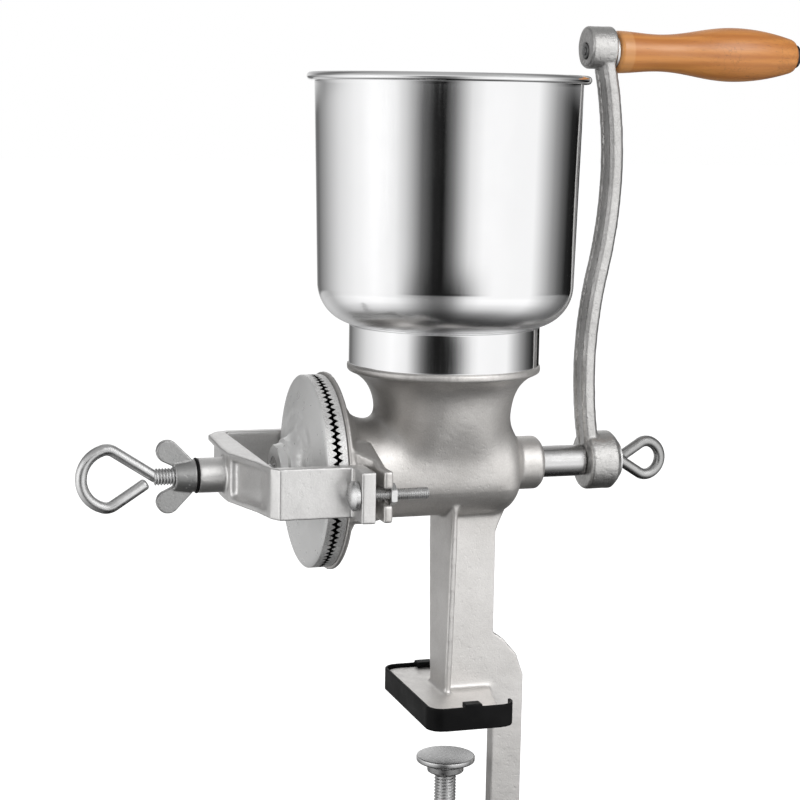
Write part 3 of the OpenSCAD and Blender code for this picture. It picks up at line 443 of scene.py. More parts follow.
def scuffGroup():
    # plated or polished steel: fine scratches and faint smudges
    tree, given, made = newGroup("fineScuffs", [
        ("Tone", "NodeSocketColor", (0.7, 0.7, 0.7, 1)),
        ("Dull", "NodeSocketColor", (0.6, 0.6, 0.6, 1)),
        ("Stretch", "NodeSocketVector", (1, 1, 1)),
        ("Scale", "NodeSocketFloat", 300.0),
        ("Rough Low", "NodeSocketFloat", 0.1),
        ("Rough High", "NodeSocketFloat", 0.25),
    ], [("Color", "NodeSocketColor"), ("Roughness", "NodeSocketFloat"), ("Height", "NodeSocketFloat")])
    where = onPiece(tree)
    pull = tree.nodes.new("ShaderNodeVectorMath")
    pull.operation = "MULTIPLY"
    tree.links.new(where, pull.inputs[0])
    tree.links.new(given.outputs["Stretch"], pull.inputs[1])
    lines = noise(tree, given.outputs["Scale"], 3.0, 0.6, pull.outputs[0])
    smudge = noise(tree, 30.0, 3.0)
    tree.links.new(mixColour(tree, remap(tree, smudge, 0.3, 0.7), given.outputs["Dull"], given.outputs["Tone"]),
                   made.inputs["Color"])
    share = reckon(tree, "ADD", reckon(tree, "MULTIPLY", lines, 0.6), reckon(tree, "MULTIPLY", smudge, 0.4))
    rough = remap(tree, share, 0.35, 0.65, given.outputs["Rough Low"], given.outputs["Rough High"])
    tree.links.new(rough, made.inputs["Roughness"])
    tree.links.new(lines, made.inputs["Height"])
    return tree


def toothGroup():
    # ground burr: painted shade down in the tooth gaps, a rougher turned rim
    tree, given, made = newGroup("toothGrime", [
        ("Color", "NodeSocketColor", (0.7, 0.7, 0.7, 1)),
        ("Rim", "NodeSocketColor", (0.4, 0.4, 0.4, 1)),
        ("Grime", "NodeSocketColor", (0.03, 0.03, 0.03, 1)),
        ("Axis Height", "NodeSocketFloat", 0.133),
        ("Radius", "NodeSocketFloat", 0.05),
        ("Gap Middle", "NodeSocketFloat", -0.077),
        ("Gap Depth", "NodeSocketFloat", 0.003),
    ], [("Color", "NodeSocketColor")])
    up = reckon(tree, "SUBTRACT", spotOf(tree, "Z"), given.outputs["Axis Height"])
    squares = reckon(tree, "ADD", reckon(tree, "POWER", up, 2.0), reckon(tree, "POWER", spotOf(tree, "Y"), 2.0))
    reach = reckon(tree, "POWER", squares, 0.5)
    apart = reckon(tree, "ABSOLUTE", reckon(tree, "SUBTRACT", spotOf(tree, "X"), given.outputs["Gap Middle"]))
    near = reckon(tree, "LESS_THAN", apart, given.outputs["Gap Depth"])
    outer = reckon(tree, "GREATER_THAN", reach, given.outputs["Radius"])
    mottled = remap(tree, noise(tree, 1400.0, 3.0, 0.7), 0.35, 0.7, 0.15, 1.0)
    worn = reckon(tree, "MULTIPLY", outer, mottled)
    rim = mixColour(tree, worn, given.outputs["Color"], given.outputs["Rim"])
    # painted shade: near-black down in the tooth gaps, between the two burrs
    deep = reckon(tree, "MULTIPLY", near, reckon(tree, "SUBTRACT", 1.0, outer))
    tree.links.new(mixColour(tree, deep, rim, given.outputs["Grime"]), made.inputs["Color"])
    return tree


castSkin = castGroup()
toothGrime = toothGroup()
fineScuffs = scuffGroup()


def castMetal(name, look):
    shader = Shader(name)
    skin = shader.group(castSkin, Tone=(*look["tone"], 1), Shade=(*look["shade"], 1), Worn=(*look["worn"], 1),
                        Grain_Scale=look["grain"], Rough_Low=look["rough"][0], Rough_High=look["rough"][1])
    shader.set(Metallic=look["metallic"])
    colour = skin.outputs["Color"]
    if "paintedLightTone" in look:  # painted light: the leg is painted lighter than the barrel
        tree = shader.tree
        share = remap(tree, spotOf(tree, "Z"), *look["paintedLightZ"], look["paintedLightShare"], 0.0)
        colour = mixColour(tree, share, colour, (*look["paintedLightTone"], 1))
        paintedShade = reckon(tree, "MULTIPLY", remap(tree, spotOf(tree, "X"), *look["paintedShadeX"], look["paintedShadeShare"], 0.0),
                      remap(tree, spotOf(tree, "Z"), *look["paintedShadeZ"]))  # painted shade on the left of the throat, behind the bell
        colour = mixColour(tree, paintedShade, colour, (*look["paintedShadeTone"], 1))
    shader.join(colour, "Base Color")
    shader.join(skin.outputs["Roughness"], "Roughness")
    shader.bump(skin.outputs["Height"], look["bump"] * mm)
    return shader.material


def sheetMetal(name, look):
    shader = Shader(name)
    tree = shader.tree
    skin = shader.group(fineScuffs, Tone=(*look["tone"], 1), Dull=(*look["dull"], 1), Stretch=look["stretch"],
                        Scale=look["scale"], Rough_Low=look["rough"][0], Rough_High=look["rough"][1])
    shader.set(Metallic=look["metallic"])
    colour = skin.outputs["Color"]
    # painted shade down in the tooth gaps
    if "gapShade" in look:
        teeth = shader.group(toothGrime, Grime=(*look["gapShade"], 1), Rim=(*look["rim"], 1),
                             Axis_Height=shaftZ * mm, Radius=look["radius"] * mm,
                             Gap_Middle=look["gapX"] * mm, Gap_Depth=look["gapDepth"] * mm)
        shader.links.new(colour, teeth.inputs["Color"])
        colour = teeth.outputs["Color"]
    rough = skin.outputs["Roughness"]
    if "softZ" in look:  # hammered corner of the bowl, duller than its wall
        softer = remap(tree, spotOf(tree, "Z"), *look["softZ"], look["softRough"], 0.0)
        rough = reckon(tree, "MAXIMUM", rough, softer)
    shader.join(colour, "Base Color")
    shader.join(rough, "Roughness")
    shader.bump(skin.outputs["Height"], look["bump"] * mm)
    return shader.material


bodyMetal = castMetal("tinnedCasting", dict(
    tone=(0.65, 0.632, 0.615), shade=(0.50, 0.485, 0.468), worn=(0.78, 0.77, 0.76), grain=1100,
    rough=(0.36, 0.50), metallic=0.86, bump=0.075,
    # painted light: the leg below the barrel gets a lighter tone
    paintedLightTone=(0.84, 0.83, 0.82), paintedLightShare=0.25, paintedLightZ=(0.088, 0.112),  # metres in the frame
    # painted shade: the throat's left side behind the bell gets a darker tone
    paintedShadeTone=(0.22, 0.213, 0.205), paintedShadeShare=0.5, paintedShadeX=(-0.038, -0.022), paintedShadeZ=(0.142, 0.156)))
yokeMetal = castMetal("brightCasting", dict(
    tone=(0.68, 0.673, 0.665), shade=(0.57, 0.564, 0.557), worn=(0.84, 0.835, 0.825), grain=900,
    rough=(0.28, 0.42), metallic=0.88, bump=0.07))
crankMetal = castMetal("crankCasting", dict(
    tone=(0.66, 0.652, 0.64), shade=(0.40, 0.395, 0.387), worn=(0.82, 0.815, 0.805), grain=750,
    rough=(0.24, 0.42), metallic=0.95, bump=0.20))
wingMetal = castMetal("wingCasting", dict(
    tone=(0.42, 0.42, 0.417), shade=(0.33, 0.33, 0.327), worn=(0.74, 0.74, 0.735), grain=1000,
    rough=(0.28, 0.42), metallic=0.9, bump=0.10))
polished = dict(tone=(0.88, 0.88, 0.885), dull=(0.86, 0.86, 0.865), stretch=(1, 1, 0.04), scale=900,
                rough=(0.045, 0.09), bump=0.001, metallic=1.0)
hopperMetal = sheetMetal("polishedSheet", dict(polished, softRough=0.26, softZ=(0.216, 0.236)))
collarMetal = sheetMetal("polishedBand", polished)
burrMetal = sheetMetal("turnedBurr", dict(
    tone=(0.74, 0.74, 0.735), dull=(0.68, 0.68, 0.675), stretch=(4, 1, 1), scale=160,
    # near-black painted shade for the tooth gaps
    rough=(0.26, 0.38), bump=0.006, metallic=0.45, gapShade=(0.02, 0.02, 0.02), rim=(0.36, 0.355, 0.35),
    radius=50.35, gapX=-77.0, gapDepth=3.2))
zinc = dict(tone=(0.70, 0.70, 0.70), dull=(0.58, 0.58, 0.58), stretch=(1, 1, 1), scale=500,
            rough=(0.2, 0.36), bump=0.02, metallic=1.0)
zincMetal = sheetMetal("zincSteel", zinc)
wireMetal = sheetMetal("wireSteel", dict(zinc, tone=(0.46, 0.46, 0.457), dull=(0.36, 0.36, 0.357)))
plainMetal = sheetMetal("groundSteel", dict(
    tone=(0.66, 0.655, 0.655), dull=(0.58, 0.575, 0.575), stretch=(0.2, 1, 1), scale=700,
    rough=(0.18, 0.3), bump=0.01, metallic=1.0))
darkMetal = sheetMetal("darkSteel", dict(
    zinc, tone=(0.07, 0.07, 0.075), dull=(0.045, 0.045, 0.05), rough=(0.3, 0.45)))
rivetMetal = sheetMetal("rivetSteel", dict(
    zinc, tone=(0.24, 0.24, 0.24), dull=(0.15, 0.15, 0.15), scale=700, rough=(0.25, 0.4), bump=0.03))


wood = dict(pale=(0.62, 0.25, 0.055), deep=(0.40, 0.125, 0.018), pore=(0.20, 0.08, 0.02),
            shoulder=(0.70, 0.37, 0.14), shoulderShare=0.38, figure=(0.27, 0.105, 0.02), figureShare=0.5,
            figureScale=330.0, grainScale=210.0, along=0.05, tilt=(0.3, 0.0, 0.05), bump=0.05,
            rings={"Scale": 62.0, "Distortion": 5.0, "Detail": 3.0, "Detail Scale": 1.4},
            rough=(0.34, 0.46), coat=0.35, coatRough=0.16,
            figureX=(0.128, 0.145), shoulderX=(0.0935, 0.0945))  # metres along the frame


def lacqueredWood():
    shader = Shader("lacqueredWood")
    tree = shader.tree
    where = onPiece(tree)
    pull = tree.nodes.new("ShaderNodeMapping")
    pull.inputs["Scale"].default_value = (wood["along"], 1, 1)  # grain runs along the grip
    pull.inputs["Rotation"].default_value = wood["tilt"]
    tree.links.new(where, pull.inputs["Vector"])
    rings = tree.nodes.new("ShaderNodeTexWave")
    rings.wave_type = "RINGS"
    rings.rings_direction = "X"
    for key, value in wood["rings"].items():
        rings.inputs[key].default_value = value
    tree.links.new(pull.outputs["Vector"], rings.inputs["Vector"])
    fibres = noise(tree, wood["grainScale"] * 8, 3.0, 0.6, pull.outputs["Vector"])
    streaks = noise(tree, wood["grainScale"], 4.0, 0.6, pull.outputs["Vector"])
    base = mixColour(tree, remap(tree, rings.outputs["Fac"], 0.1, 0.95, 0.0, 0.55),
                     (*wood["pale"], 1), (*wood["deep"], 1))
    base = mixColour(tree, remap(tree, streaks, 0.4, 0.75, 0.0, 0.6), base, (*wood["deep"], 1))
    base = mixColour(tree, remap(tree, fibres, 0.62, 0.74, 0.0, 0.55), base, (*wood["pore"], 1))
    wavy = reckon(tree, "SUBTRACT", noise(tree, wood["figureScale"], 1.5, 0.5), 0.5)
    line = remap(tree, reckon(tree, "ABSOLUTE", wavy), 0.006, 0.022, wood["figureShare"], 0.0)
    patch = remap(tree, noise(tree, 45.0, 1.0), 0.46, 0.56)
    belly = reckon(tree, "MULTIPLY", remap(tree, spotOf(tree, "X"), *wood["figureX"]), patch)
    base = mixColour(tree, reckon(tree, "MULTIPLY", line, belly), base, (*wood["figure"], 1))
    turned = remap(tree, spotOf(tree, "X"), *wood["shoulderX"], wood["shoulderShare"], 0.0)
    base = mixColour(tree, turned, base, (*wood["shoulder"], 1))
    shader.join(base, "Base Color")
    shader.join(remap(tree, streaks, 0.3, 0.7, *wood["rough"]), "Roughness")
    shader.set(Coat_Weight=wood["coat"], Coat_Roughness=wood["coatRough"])
    shader.bump(fibres, wood["bump"] * mm)
    return shader.material


rubber = dict(tone=(0.003, 0.003, 0.0032), dusty=(0.008, 0.008, 0.0082), dustScale=60.0, rough=(0.38, 0.56),
              shine=0.09, bump=0.03)


def blackRubber(name, scale):
    shader = Shader(name)
    tree = shader.tree
    fine = noise(tree, scale, 3.0)
    dust = noise(tree, rubber["dustScale"], 4.0)
    shader.join(mixColour(tree, remap(tree, dust, 0.45, 0.75), (*rubber["tone"], 1), (*rubber["dusty"], 1)),
                "Base Color")
    shader.join(remap(tree, dust, 0.3, 0.7, *rubber["rough"]), "Roughness")
    shader.set(Specular_IOR_Level=rubber["shine"])
    shader.bump(fine, rubber["bump"] * mm)
    return shader.material


woodFinish = lacqueredWood()
rubberFinish = blackRubber("bootRubber", 1500.0)
fibreFinish = blackRubber("washerFibre", 2500.0)
print("materials made")


# hopper: bowl with a rolled rim, and the collar it stands in
hopper = dict(rimR=74.0, rollR=2.2, topR=70.0, lowR=67.5, cornerR=22.0, sheet=1.0, neckR=49.34,
              floorZ=209.0, neckZ=203.0, rimZ=339.5, collarR=50.4, collarZ=188.4, edgeIn=0.2, edgeOut=0.45)


def arcPoints(centre, radius, start, end, steps):
    turns = [math.radians(start + (end - start) * k / steps) for k in range(steps + 1)]
    return [(centre[0] + radius * math.cos(a), centre[1] + radius * math.sin(a)) for a in turns]


def bowlProfile():
    h = hopper
    cornerC = (h["lowR"] - h["cornerR"], h["floorZ"] + h["cornerR"])
    inner = h["cornerR"] - h["sheet"]
    rollC = (h["rimR"] - h["rollR"], h["rimZ"] - h["rollR"])
    outStart = -math.degrees(math.acos((h["neckR"] - cornerC[0]) / h["cornerR"]))
    inStart = -math.degrees(math.acos((h["neckR"] - h["sheet"] - cornerC[0]) / inner))
    flangeZ = rollC[1]
    half = h["sheet"] / 2
    profile = [(h["neckR"], h["neckZ"])]
    profile += arcPoints(cornerC, h["cornerR"], outStart, 0, 20)
    slope = (h["topR"] - h["lowR"]) / (flangeZ - cornerC[1])
    wall = [cornerC[1] + up for up in (0.6, 2, 40)] + [flangeZ - down for down in (40, 4, 2.6)]
    profile += [(h["lowR"] + slope * (z - cornerC[1]), z) for z in wall]  # close rows keep the shading even
    profile += [(h["topR"], flangeZ - half - 1.2), (h["topR"] + 0.9, flangeZ - half - 0.2)]
    profile += arcPoints(rollC, h["rollR"], 200, 500, 22)
    profile += [(h["topR"] + 0.2, flangeZ + half), (h["topR"] - h["sheet"], flangeZ - half - 0.8)]
    wall = (flangeZ - 3, flangeZ - 5, cornerC[1] + 3, cornerC[1] + 1)
    profile += [(h["lowR"] - h["sheet"] + slope * (z - cornerC[1]), z) for z in wall]
    profile += arcPoints(cornerC, inner, 0, inStart, 20)
    profile.append((h["neckR"] - h["sheet"], h["neckZ"]))
    return profile


def makeHopper():
    h = hopper
    bowl = turnedPiece("hopperBowl", bowlProfile(), "z", (hopperX, 0, 0), around=256, sharp=50)
    finishPiece(bowl, "hopper", "polished_sheet", hopperMetal, "hopper_bowl")
    low, high = h["collarZ"], h["floorZ"]
    inside = h["collarR"] - h["sheet"]
    ring = rounded([(inside, low, h["edgeIn"]), (h["collarR"], low, h["edgeOut"]),
                    (h["collarR"], high, h["edgeOut"]), (inside, high, h["edgeIn"])])
    collar = turnedPiece("hopperCollar", supported(ring), "z", (hopperX, 0, 0), around=256)
    finishPiece(collar, "hopper", "polished_sheet", collarMetal, "hopper_collar")


makeHopper()
print("hopper turned")


# body casting, softened, with wide blends where the throat runs into the barrel
body = dict(voxel=0.9, passes=5, lump=0.2,
            throatBlend=420, throatR=(20, 52), throatX=(-60, 36), throatZ=(123, 183),
            legBlend=24, legY=26, footX=-14, footZ=13, footReach=9, topX=-12, topZ=106, topReach=12, endX=40)


def nearThroatFoot(x, y, z):
    reach = math.hypot(x - hopperX, y)
    (nearR, farR), (left, right), (low, top) = body["throatR"], body["throatX"], body["throatZ"]
    high = max(0.0, min(1.0, (z - low) / 10, (top - z) / 14))  # ramps in mm
    inside = max(0.0, min(1.0, (x - left) / 8, (right - x) / 6))
    return min(high, inside) if nearR < reach < farR else 0.0


def nearFootJoint(x, y, z):
    inside = body["footX"] < x < body["endX"] and abs(y) < body["legY"]
    return max(0.0, 1 - abs(z - body["footZ"]) / body["footReach"]) if inside else 0.0


def nearLegTop(x, y, z):
    inside = body["topX"] < x < body["endX"] and abs(y) < body["legY"]
    return max(0.0, 1 - abs(z - body["topZ"]) / body["topReach"]) if inside else 0.0


bodySpots = [(nearThroatFoot, body["throatBlend"]), (nearFootJoint, body["legBlend"]),
             (nearLegTop, body["legBlend"])]
bodyPiece = castCopy("millBody", "mill_body", body["voxel"], body["passes"], bodySpots, lump=body["lump"])
finishPiece(bodyPiece, "frame", "tinned_casting", bodyMetal, "mill_body")
print("body cast")


# burrs: toothed plates
burr = dict(radius=50.5, eyeR=24.0, teeth=90, depth=2.3, toothLen=12.0, land=0.18, boreR=8.56, sharp=32,
            fixedFace=-76.6, fixedThick=5.2, turningFace=-77.4, turningThick=4.8, hubR=16.0, hubLen=16.0,
            rimBack=2.5, edgeRound=0.6, dishIn=3.0, dishRise=0.6, slopeIn=22.5, slopeRise=4.4,
            kneeIn=7.0, kneeRise=6.0, eyeDepth=5.0, lump=0.9, lumpSize=6.0, lumpX=-86.0, lumpR=10.0)


def toothCut(angle, turned):
    share = (angle / (2 * math.pi) * burr["teeth"] + turned) % 1.0 - 0.5
    half = (1 - burr["land"]) / 2
    return burr["depth"] * max(0.0, 1 - abs(share) / half)


def burrPlate(name, face, side, turned, backProfile):
    # the grinding face is at h = 0 and the plate lies towards positive h
    edge = burr["radius"]
    steps = 5
    teeth = [(edge - burr["toothLen"] * (1 - k / steps), 0.0) for k in range(steps + 1)]
    profile = [(burr["eyeR"], 0.0)] + teeth + backProfile
    ramp = {k + 1: k / steps for k in range(steps + 1)}

    def shift(index, angle):
        return ramp.get(index, 0.0) * toothCut(angle, turned)

    piece = turnedPiece(name, profile, "x", (0, 0, 0), around=burr["teeth"] * 8, shift=shift)
    for v in piece.data.vertices:
        v.co.x = face * mm + side * v.co.x
        v.co.z += shaftZ * mm
    tidyNormals(piece.data)
    piece.data.shade_smooth()
    piece.data.set_sharp_from_angle(angle=math.radians(burr["sharp"]))
    return piece


def makeBurrs():
    b = burr
    edge = b["radius"]
    fixedBack = rounded([(edge, b["rimBack"], 0), (edge, b["fixedThick"], b["edgeRound"]),
                         (b["eyeR"], b["fixedThick"], 0)])
    fixed = burrPlate("fixedBurr", b["fixedFace"], 1, 0.5, fixedBack)
    finishPiece(fixed, "frame", "burr_iron", burrMetal, "fixed_burr")
    t, hub = b["turningThick"], b["hubR"]
    inR, rise = edge - b["dishIn"], t + b["dishRise"]
    dish = [(edge, b["rimBack"]), (edge, t - 0.5), (edge - 0.5, t), (inR, rise)]
    slope = [(inR - b["slopeIn"] * k / 12, rise + b["slopeRise"] * k / 12) for k in range(1, 13)]
    kneeR, kneeH = slope[-1]
    bends = [k * math.pi / 16 for k in range(1, 9)]
    knee = [(kneeR - b["kneeIn"] * math.sin(a), kneeH + b["kneeRise"] * (1 - math.cos(a))) for a in bends]
    end = b["hubLen"] + t
    hubEnd = [(hub - 0.2, t + 12), (hub - 1, end - 0.8), (hub - 1.8, end),  # a slight taper
              (b["boreR"], end), (b["boreR"], b["eyeDepth"]), (b["eyeR"], b["eyeDepth"])]
    turning = burrPlate("turningBurr", b["turningFace"], -1, 0.0, dish + slope + knee + hubEnd)
    addLumps(turning.data, b["lump"], b["lumpSize"],
             lambda x, y, z: x < b["lumpX"] and math.hypot(y, z - shaftZ) > b["lumpR"])
    finishPiece(turning, "rotor", "burr_iron", burrMetal, "turning_burr")


makeBurrs()
print("burrs cut")


# yoke, its bolts and nuts
yoke = dict(voxel=0.7, passes=6, lump=0.25,
            hollowBlend=36, hollowX=(-124.5, -112.5), hollowY=(9, 60), hollowHalf=9.4)


def inYokeHollow(x, y, z):
    (left, right), (near, far) = yoke["hollowX"], yoke["hollowY"]
    inside = left < x < right and near < abs(y) < far
    return 1.0 if inside and abs(z - shaftZ) < yoke["hollowHalf"] else 0.0


yokePiece = castCopy("yokeBridge", "yoke", yoke["voxel"], yoke["passes"],
                     [(inYokeHollow, yoke["hollowBlend"])], lump=yoke["lump"])
finishPiece(yokePiece, "frame", "bright_casting", yokeMetal, "yoke")
bolt = dict(footX=-73.0, y=69.5, headR=7.5, headT=5.5, dome=1.4, shankR=3.0, length=37.0, pitch=1.0,
            earX=-56.8, nutAf=10.0, nutT=3.0, nutEdge=0.5, nutChamfer=0.95, fit=0.06)


def domeProfile(radius, thick):
    # a domed head standing along -h from its seat at h = 0
    sphere = radius * bolt["dome"]
    centre = -thick + sphere
    edgeH = centre - math.sqrt(sphere ** 2 - radius ** 2)
    turns = [math.asin(radius / sphere) * (1 - k / 12) for k in range(13)]
    dome = [(sphere * math.sin(a), centre - sphere * math.cos(a)) for a in turns]
    return [(0, 0), (radius - 0.3, 0), (radius, -0.3), (radius, edgeH + 0.2)] + dome


def hexNut(name, spot, flats, thick, holeR):
    corner = flats / 2 / math.cos(math.pi / 6)
    edge, cut = bolt["nutEdge"], corner * bolt["nutChamfer"]
    rings = [(cut, 0.0), (corner, edge), (corner, thick - edge), (cut, thick)]
    rings += [(holeR, thick), (holeR, 0.0)]
    points = []
    around = 48
    for r, h in rings:
        for k in range(around):
            a = 2 * math.pi * k / around
            flat = flats / 2 / math.cos((a + math.pi / 6) % (math.pi / 3) - math.pi / 6)
            reach = min(flat, r)
            points.append(place("x", spot, reach, h, a))
    return addPiece(name, points, ringFaces(len(rings), around, loop=True), 25)


def makeBolts():
    b = bolt
    for label, side in (("Front", -1), ("Back", 1)):
        spot = (b["footX"], side * b["y"], shaftZ)
        head = turnedPiece("yokeBoltHead" + label, domeProfile(b["headR"], b["headT"]), "x", spot, around=72)
        shank = threadedRod("yokeBoltShank" + label, 0.0, b["length"], b["shankR"], b["pitch"], "x", spot)
        seat = (b["earX"], side * b["y"], shaftZ)
        nut = hexNut("yokeNut" + label, seat, b["nutAf"], b["nutT"], b["shankR"] + b["fit"])
        finishPiece(head, "frame", "zinc_steel", zincMetal, "yoke_bolts")
        finishPiece(shank, "frame", "zinc_steel", zincMetal, "yoke_bolts")
        finishPiece(nut, "frame", "zinc_steel", zincMetal, "yoke_nuts")


makeBolts()
print("yoke bolted")


# adjusting screw with its eye, black washer and wing nut
adjuster = dict(wire=6.0, length=41.0, height=36.0, stopAt=1.04, neckX=-161.7, tipX=-104.26,
                radius=4.5, pitch=1.6, washerIn=4.8, washerOut=9.2, washerX=(-139.7, -138.7), washerRound=0.3,
                wingVoxel=0.45, wingPasses=6)


def makeAdjuster():
    a = adjuster
    neck = a["neckX"] + a["wire"] / 4
    eye = wireEye("adjustingEye", a, lambda along, across, up: (neck - along, across, shaftZ - up))
    finishPiece(eye, "adjuster", "zinc_steel", zincMetal, "adjusting_screw")
    rod = threadedRod("adjustingThread", a["neckX"], a["tipX"], a["radius"], a["pitch"], "x", (0, 0, shaftZ))
    finishPiece(rod, "adjuster", "zinc_steel", zincMetal, "adjusting_screw")
    inner, outer, soft, (left, right) = a["washerIn"], a["washerOut"], a["washerRound"], a["washerX"]
    ring = rounded([(inner, left, 0), (outer, left, soft), (outer, right, soft), (inner, right, 0)])
    washer = turnedPiece("lockWasher", ring, "x", (0, 0, shaftZ), around=72)
    finishPiece(washer, "lock_ring", "black_washer", fibreFinish, "lock_washer")
    wing = castCopy("lockWingNut", "lock_wing_nut", a["wingVoxel"], a["wingPasses"])
    finishPiece(wing, "wing_nut", "bright_casting", wingMetal, "lock_wing_nut")


makeAdjuster()
print("adjusting screw made")


# shaft with the feed worm
auger = dict(voxel=0.7, passes=3)
augerPiece = castCopy("feedAuger", "feed_auger", auger["voxel"], auger["passes"])
finishPiece(augerPiece, "rotor", "burr_iron", plainMetal, "feed_auger")
print("shaft made")


# crank: arm, eye screw, grip and its bolt
crank = dict(voxel=0.65, passes=5, lump=0.35)
crankEye = dict(wire=6.0, length=28.0, height=24.5, stopAt=0.6, neckX=97.8, tipX=70.8, radius=4.0, pitch=1.25,
                collarX=94.8, collarR=5.5, collarT=2.0, collarSeat=0.2, collarEdge=0.6)
gripLow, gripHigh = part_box("handle_grip")
grip = dict(z=353.0, start=gripLow.x / mm, length=(gripHigh.x - gripLow.x) / mm, steps=90,
            nearR=11.2, neckR=9.8, bellyR=14.4, farR=8.5, boreR=4.06, neckAt=0.24, bellyAt=0.65,
            nearEdge=(1.6, 2.2), farEdge=(2.0, 2.6),  # how far from the end, how blunt
            headR=6.25, headT=3.0, headRim=0.45, headGap=0.3, boltStart=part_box("grip_bolt")[0].x / mm,
            rivetR=2.3, rivetT=0.55, rivetRound=0.35, shankR=4.0, shankRound=0.4)


def easeIn(share):
    return (1 - math.cos(math.pi * share)) / 2


def gripRadius(share):
    near, neck, belly, far = (grip[k] for k in ("nearR", "neckR", "bellyR", "farR"))
    neckAt, bellyAt = grip["neckAt"], grip["bellyAt"]
    if share < neckAt:
        return near + (neck - near) * easeIn(share / neckAt)
    if share < bellyAt:
        return neck + (belly - neck) * easeIn((share - neckAt) / (bellyAt - neckAt))
    return far + (belly - far) * (1 - ((share - bellyAt) / (1 - bellyAt)) ** 2)


def makeCrank():
    arm = castCopy("crankArm", "crank_arm", crank["voxel"], crank["passes"], lump=crank["lump"])
    finishPiece(arm, "rotor", "bright_casting", crankMetal, "crank_arm")
    c = crankEye
    neck = c["neckX"] - c["wire"] / 4
    eye = wireEye("crankEye", c, lambda along, across, up: (neck + along, across, shaftZ + up))
    finishPiece(eye, "crank_screw", "zinc_steel", wireMetal, "crank_eye_screw")
    rod = threadedRod("crankThread", c["tipX"], c["neckX"], c["radius"], c["pitch"], "x", (0, 0, shaftZ))
    finishPiece(rod, "crank_screw", "zinc_steel", zincMetal, "crank_eye_screw")
    outer, thick = c["collarR"], c["collarT"]
    ring = rounded([(0, 0, 0), (outer, 0, c["collarSeat"]), (outer, thick, c["collarEdge"]), (0, thick, 0)])
    collar = turnedPiece("crankScrewCollar", ring, "x", (c["collarX"], 0, shaftZ), around=64)
    finishPiece(collar, "crank_screw", "zinc_steel", zincMetal, "crank_eye_screw")


def makeGrip():
    g = grip
    skin = []
    (nearLong, nearBlunt), (farLong, farBlunt) = g["nearEdge"], g["farEdge"]
    for k in range(g["steps"] + 1):
        share = k / g["steps"]
        near, far = share * g["length"], (1 - share) * g["length"]
        eased = max(0.0, nearLong - near) ** 2 / nearBlunt + max(0.0, farLong - far) ** 2 / farBlunt
        skin.append((gripRadius(share) - eased, near))
    profile = [(g["boreR"], 0.0)] + skin + [(g["boreR"], g["length"])]
    wooden = turnedPiece("handleGrip", profile, "x", (g["start"], 0, g["z"]), around=128, sharp=50)
    finishPiece(wooden, "grip", "lacquered_wood", woodFinish, "handle_grip")
    end = g["start"] + g["length"] + g["headGap"]
    rim, thick = g["headRim"], g["headT"]
    turns = [k * math.pi / 20 for k in range(1, 11)]
    dome = [(g["headR"] * math.sin(a), thick * (rim + (1 - rim) * math.cos(a))) for a in turns]
    dome = [(0, thick)] + dome + [(g["headR"], 0.0), (0, 0)]
    head = turnedPiece("gripBoltHead", dome, "x", (end, 0, g["z"]), around=72)
    finishPiece(head, "rotor", "dark_steel", darkMetal, "grip_bolt")
    length = end - g["boltStart"]
    small, step, wide = g["rivetR"], g["rivetT"], g["shankR"]
    shank = rounded([(0, 0, 0), (small, 0, g["rivetRound"]), (small, step, 0), (wide, step, g["shankRound"]),
                     (wide, length, 0), (0, length, 0)])
    rod = turnedPiece("gripBoltShank", shank, "x", (g["boltStart"], 0, g["z"]), around=48)
    finishPiece(rod, "rotor", "dark_steel", rivetMetal, "grip_bolt")


makeCrank()
makeGrip()
print("crank and grip made")


# foot boot and clamp
boot = dict(voxel=0.45, passes=4)
bootPiece = castCopy("footBoot", "foot_boot", boot["voxel"], boot["passes"])
finishPiece(bootPiece, "frame", "black_rubber", rubberFinish, "foot_boot")
clamp = dict(wire=7.6, length=42.0, height=40.0, stopAt=1.04, neckZ=-109.0, tipZ=-37.3, radius=6.0, pitch=1.75,
             padZ=-37.0, padT=9.0, padR=16.0, padRim=3.0, padEdge=0.8, stemR=10.0, stemTop=4.0, stemBend=2.0,
             pinR=5.0, pinTop=-32.56, pinRoot=1.0, pinEdge=0.6, fit=0.06)


def makeClamp():
    c = clamp
    neck = c["neckZ"] + c["wire"] / 4
    eye = wireEye("clampEye", c, lambda along, across, up: (-up, across, neck - along))
    finishPiece(eye, "clamp", "zinc_steel", zincMetal, "clamp_screw")
    rod = threadedRod("clampThread", c["neckZ"], c["tipZ"], c["radius"], c["pitch"], "z", (0, 0, 0), around=48)
    finishPiece(rod, "clamp", "zinc_steel", zincMetal, "clamp_screw")
    pinR, pinTop, pinLow = c["pinR"], c["pinTop"], c["tipZ"] - c["pinRoot"]
    ring = rounded([(0, pinLow, 0), (pinR, pinLow, 0), (pinR, pinTop, c["pinEdge"]), (0, pinTop, 0)])
    pin = turnedPiece("clampPin", ring, "z", (0, 0, 0), around=48)
    finishPiece(pin, "clamp", "zinc_steel", zincMetal, "clamp_screw")
    low, top = c["padZ"], c["padZ"] + c["padT"]
    holeR, holeTop, edge = pinR + c["fit"], pinTop + c["fit"], c["padEdge"]
    ring = rounded([(holeR, low, 0.2), (c["stemR"], low, edge), (c["stemR"], top - c["stemTop"], c["stemBend"]),
                    (c["padR"], top - c["padRim"], edge), (c["padR"], top, edge), (0, top, 0),
                    (0, holeTop, 0), (holeR, holeTop, 0)])
    pad = turnedPiece("clampPad", ring, "z", (0, 0, 0), around=96)
    finishPiece(pad, "pad", "zinc_steel", zincMetal, "clamp_pad")


makeClamp()
print("clamp made")


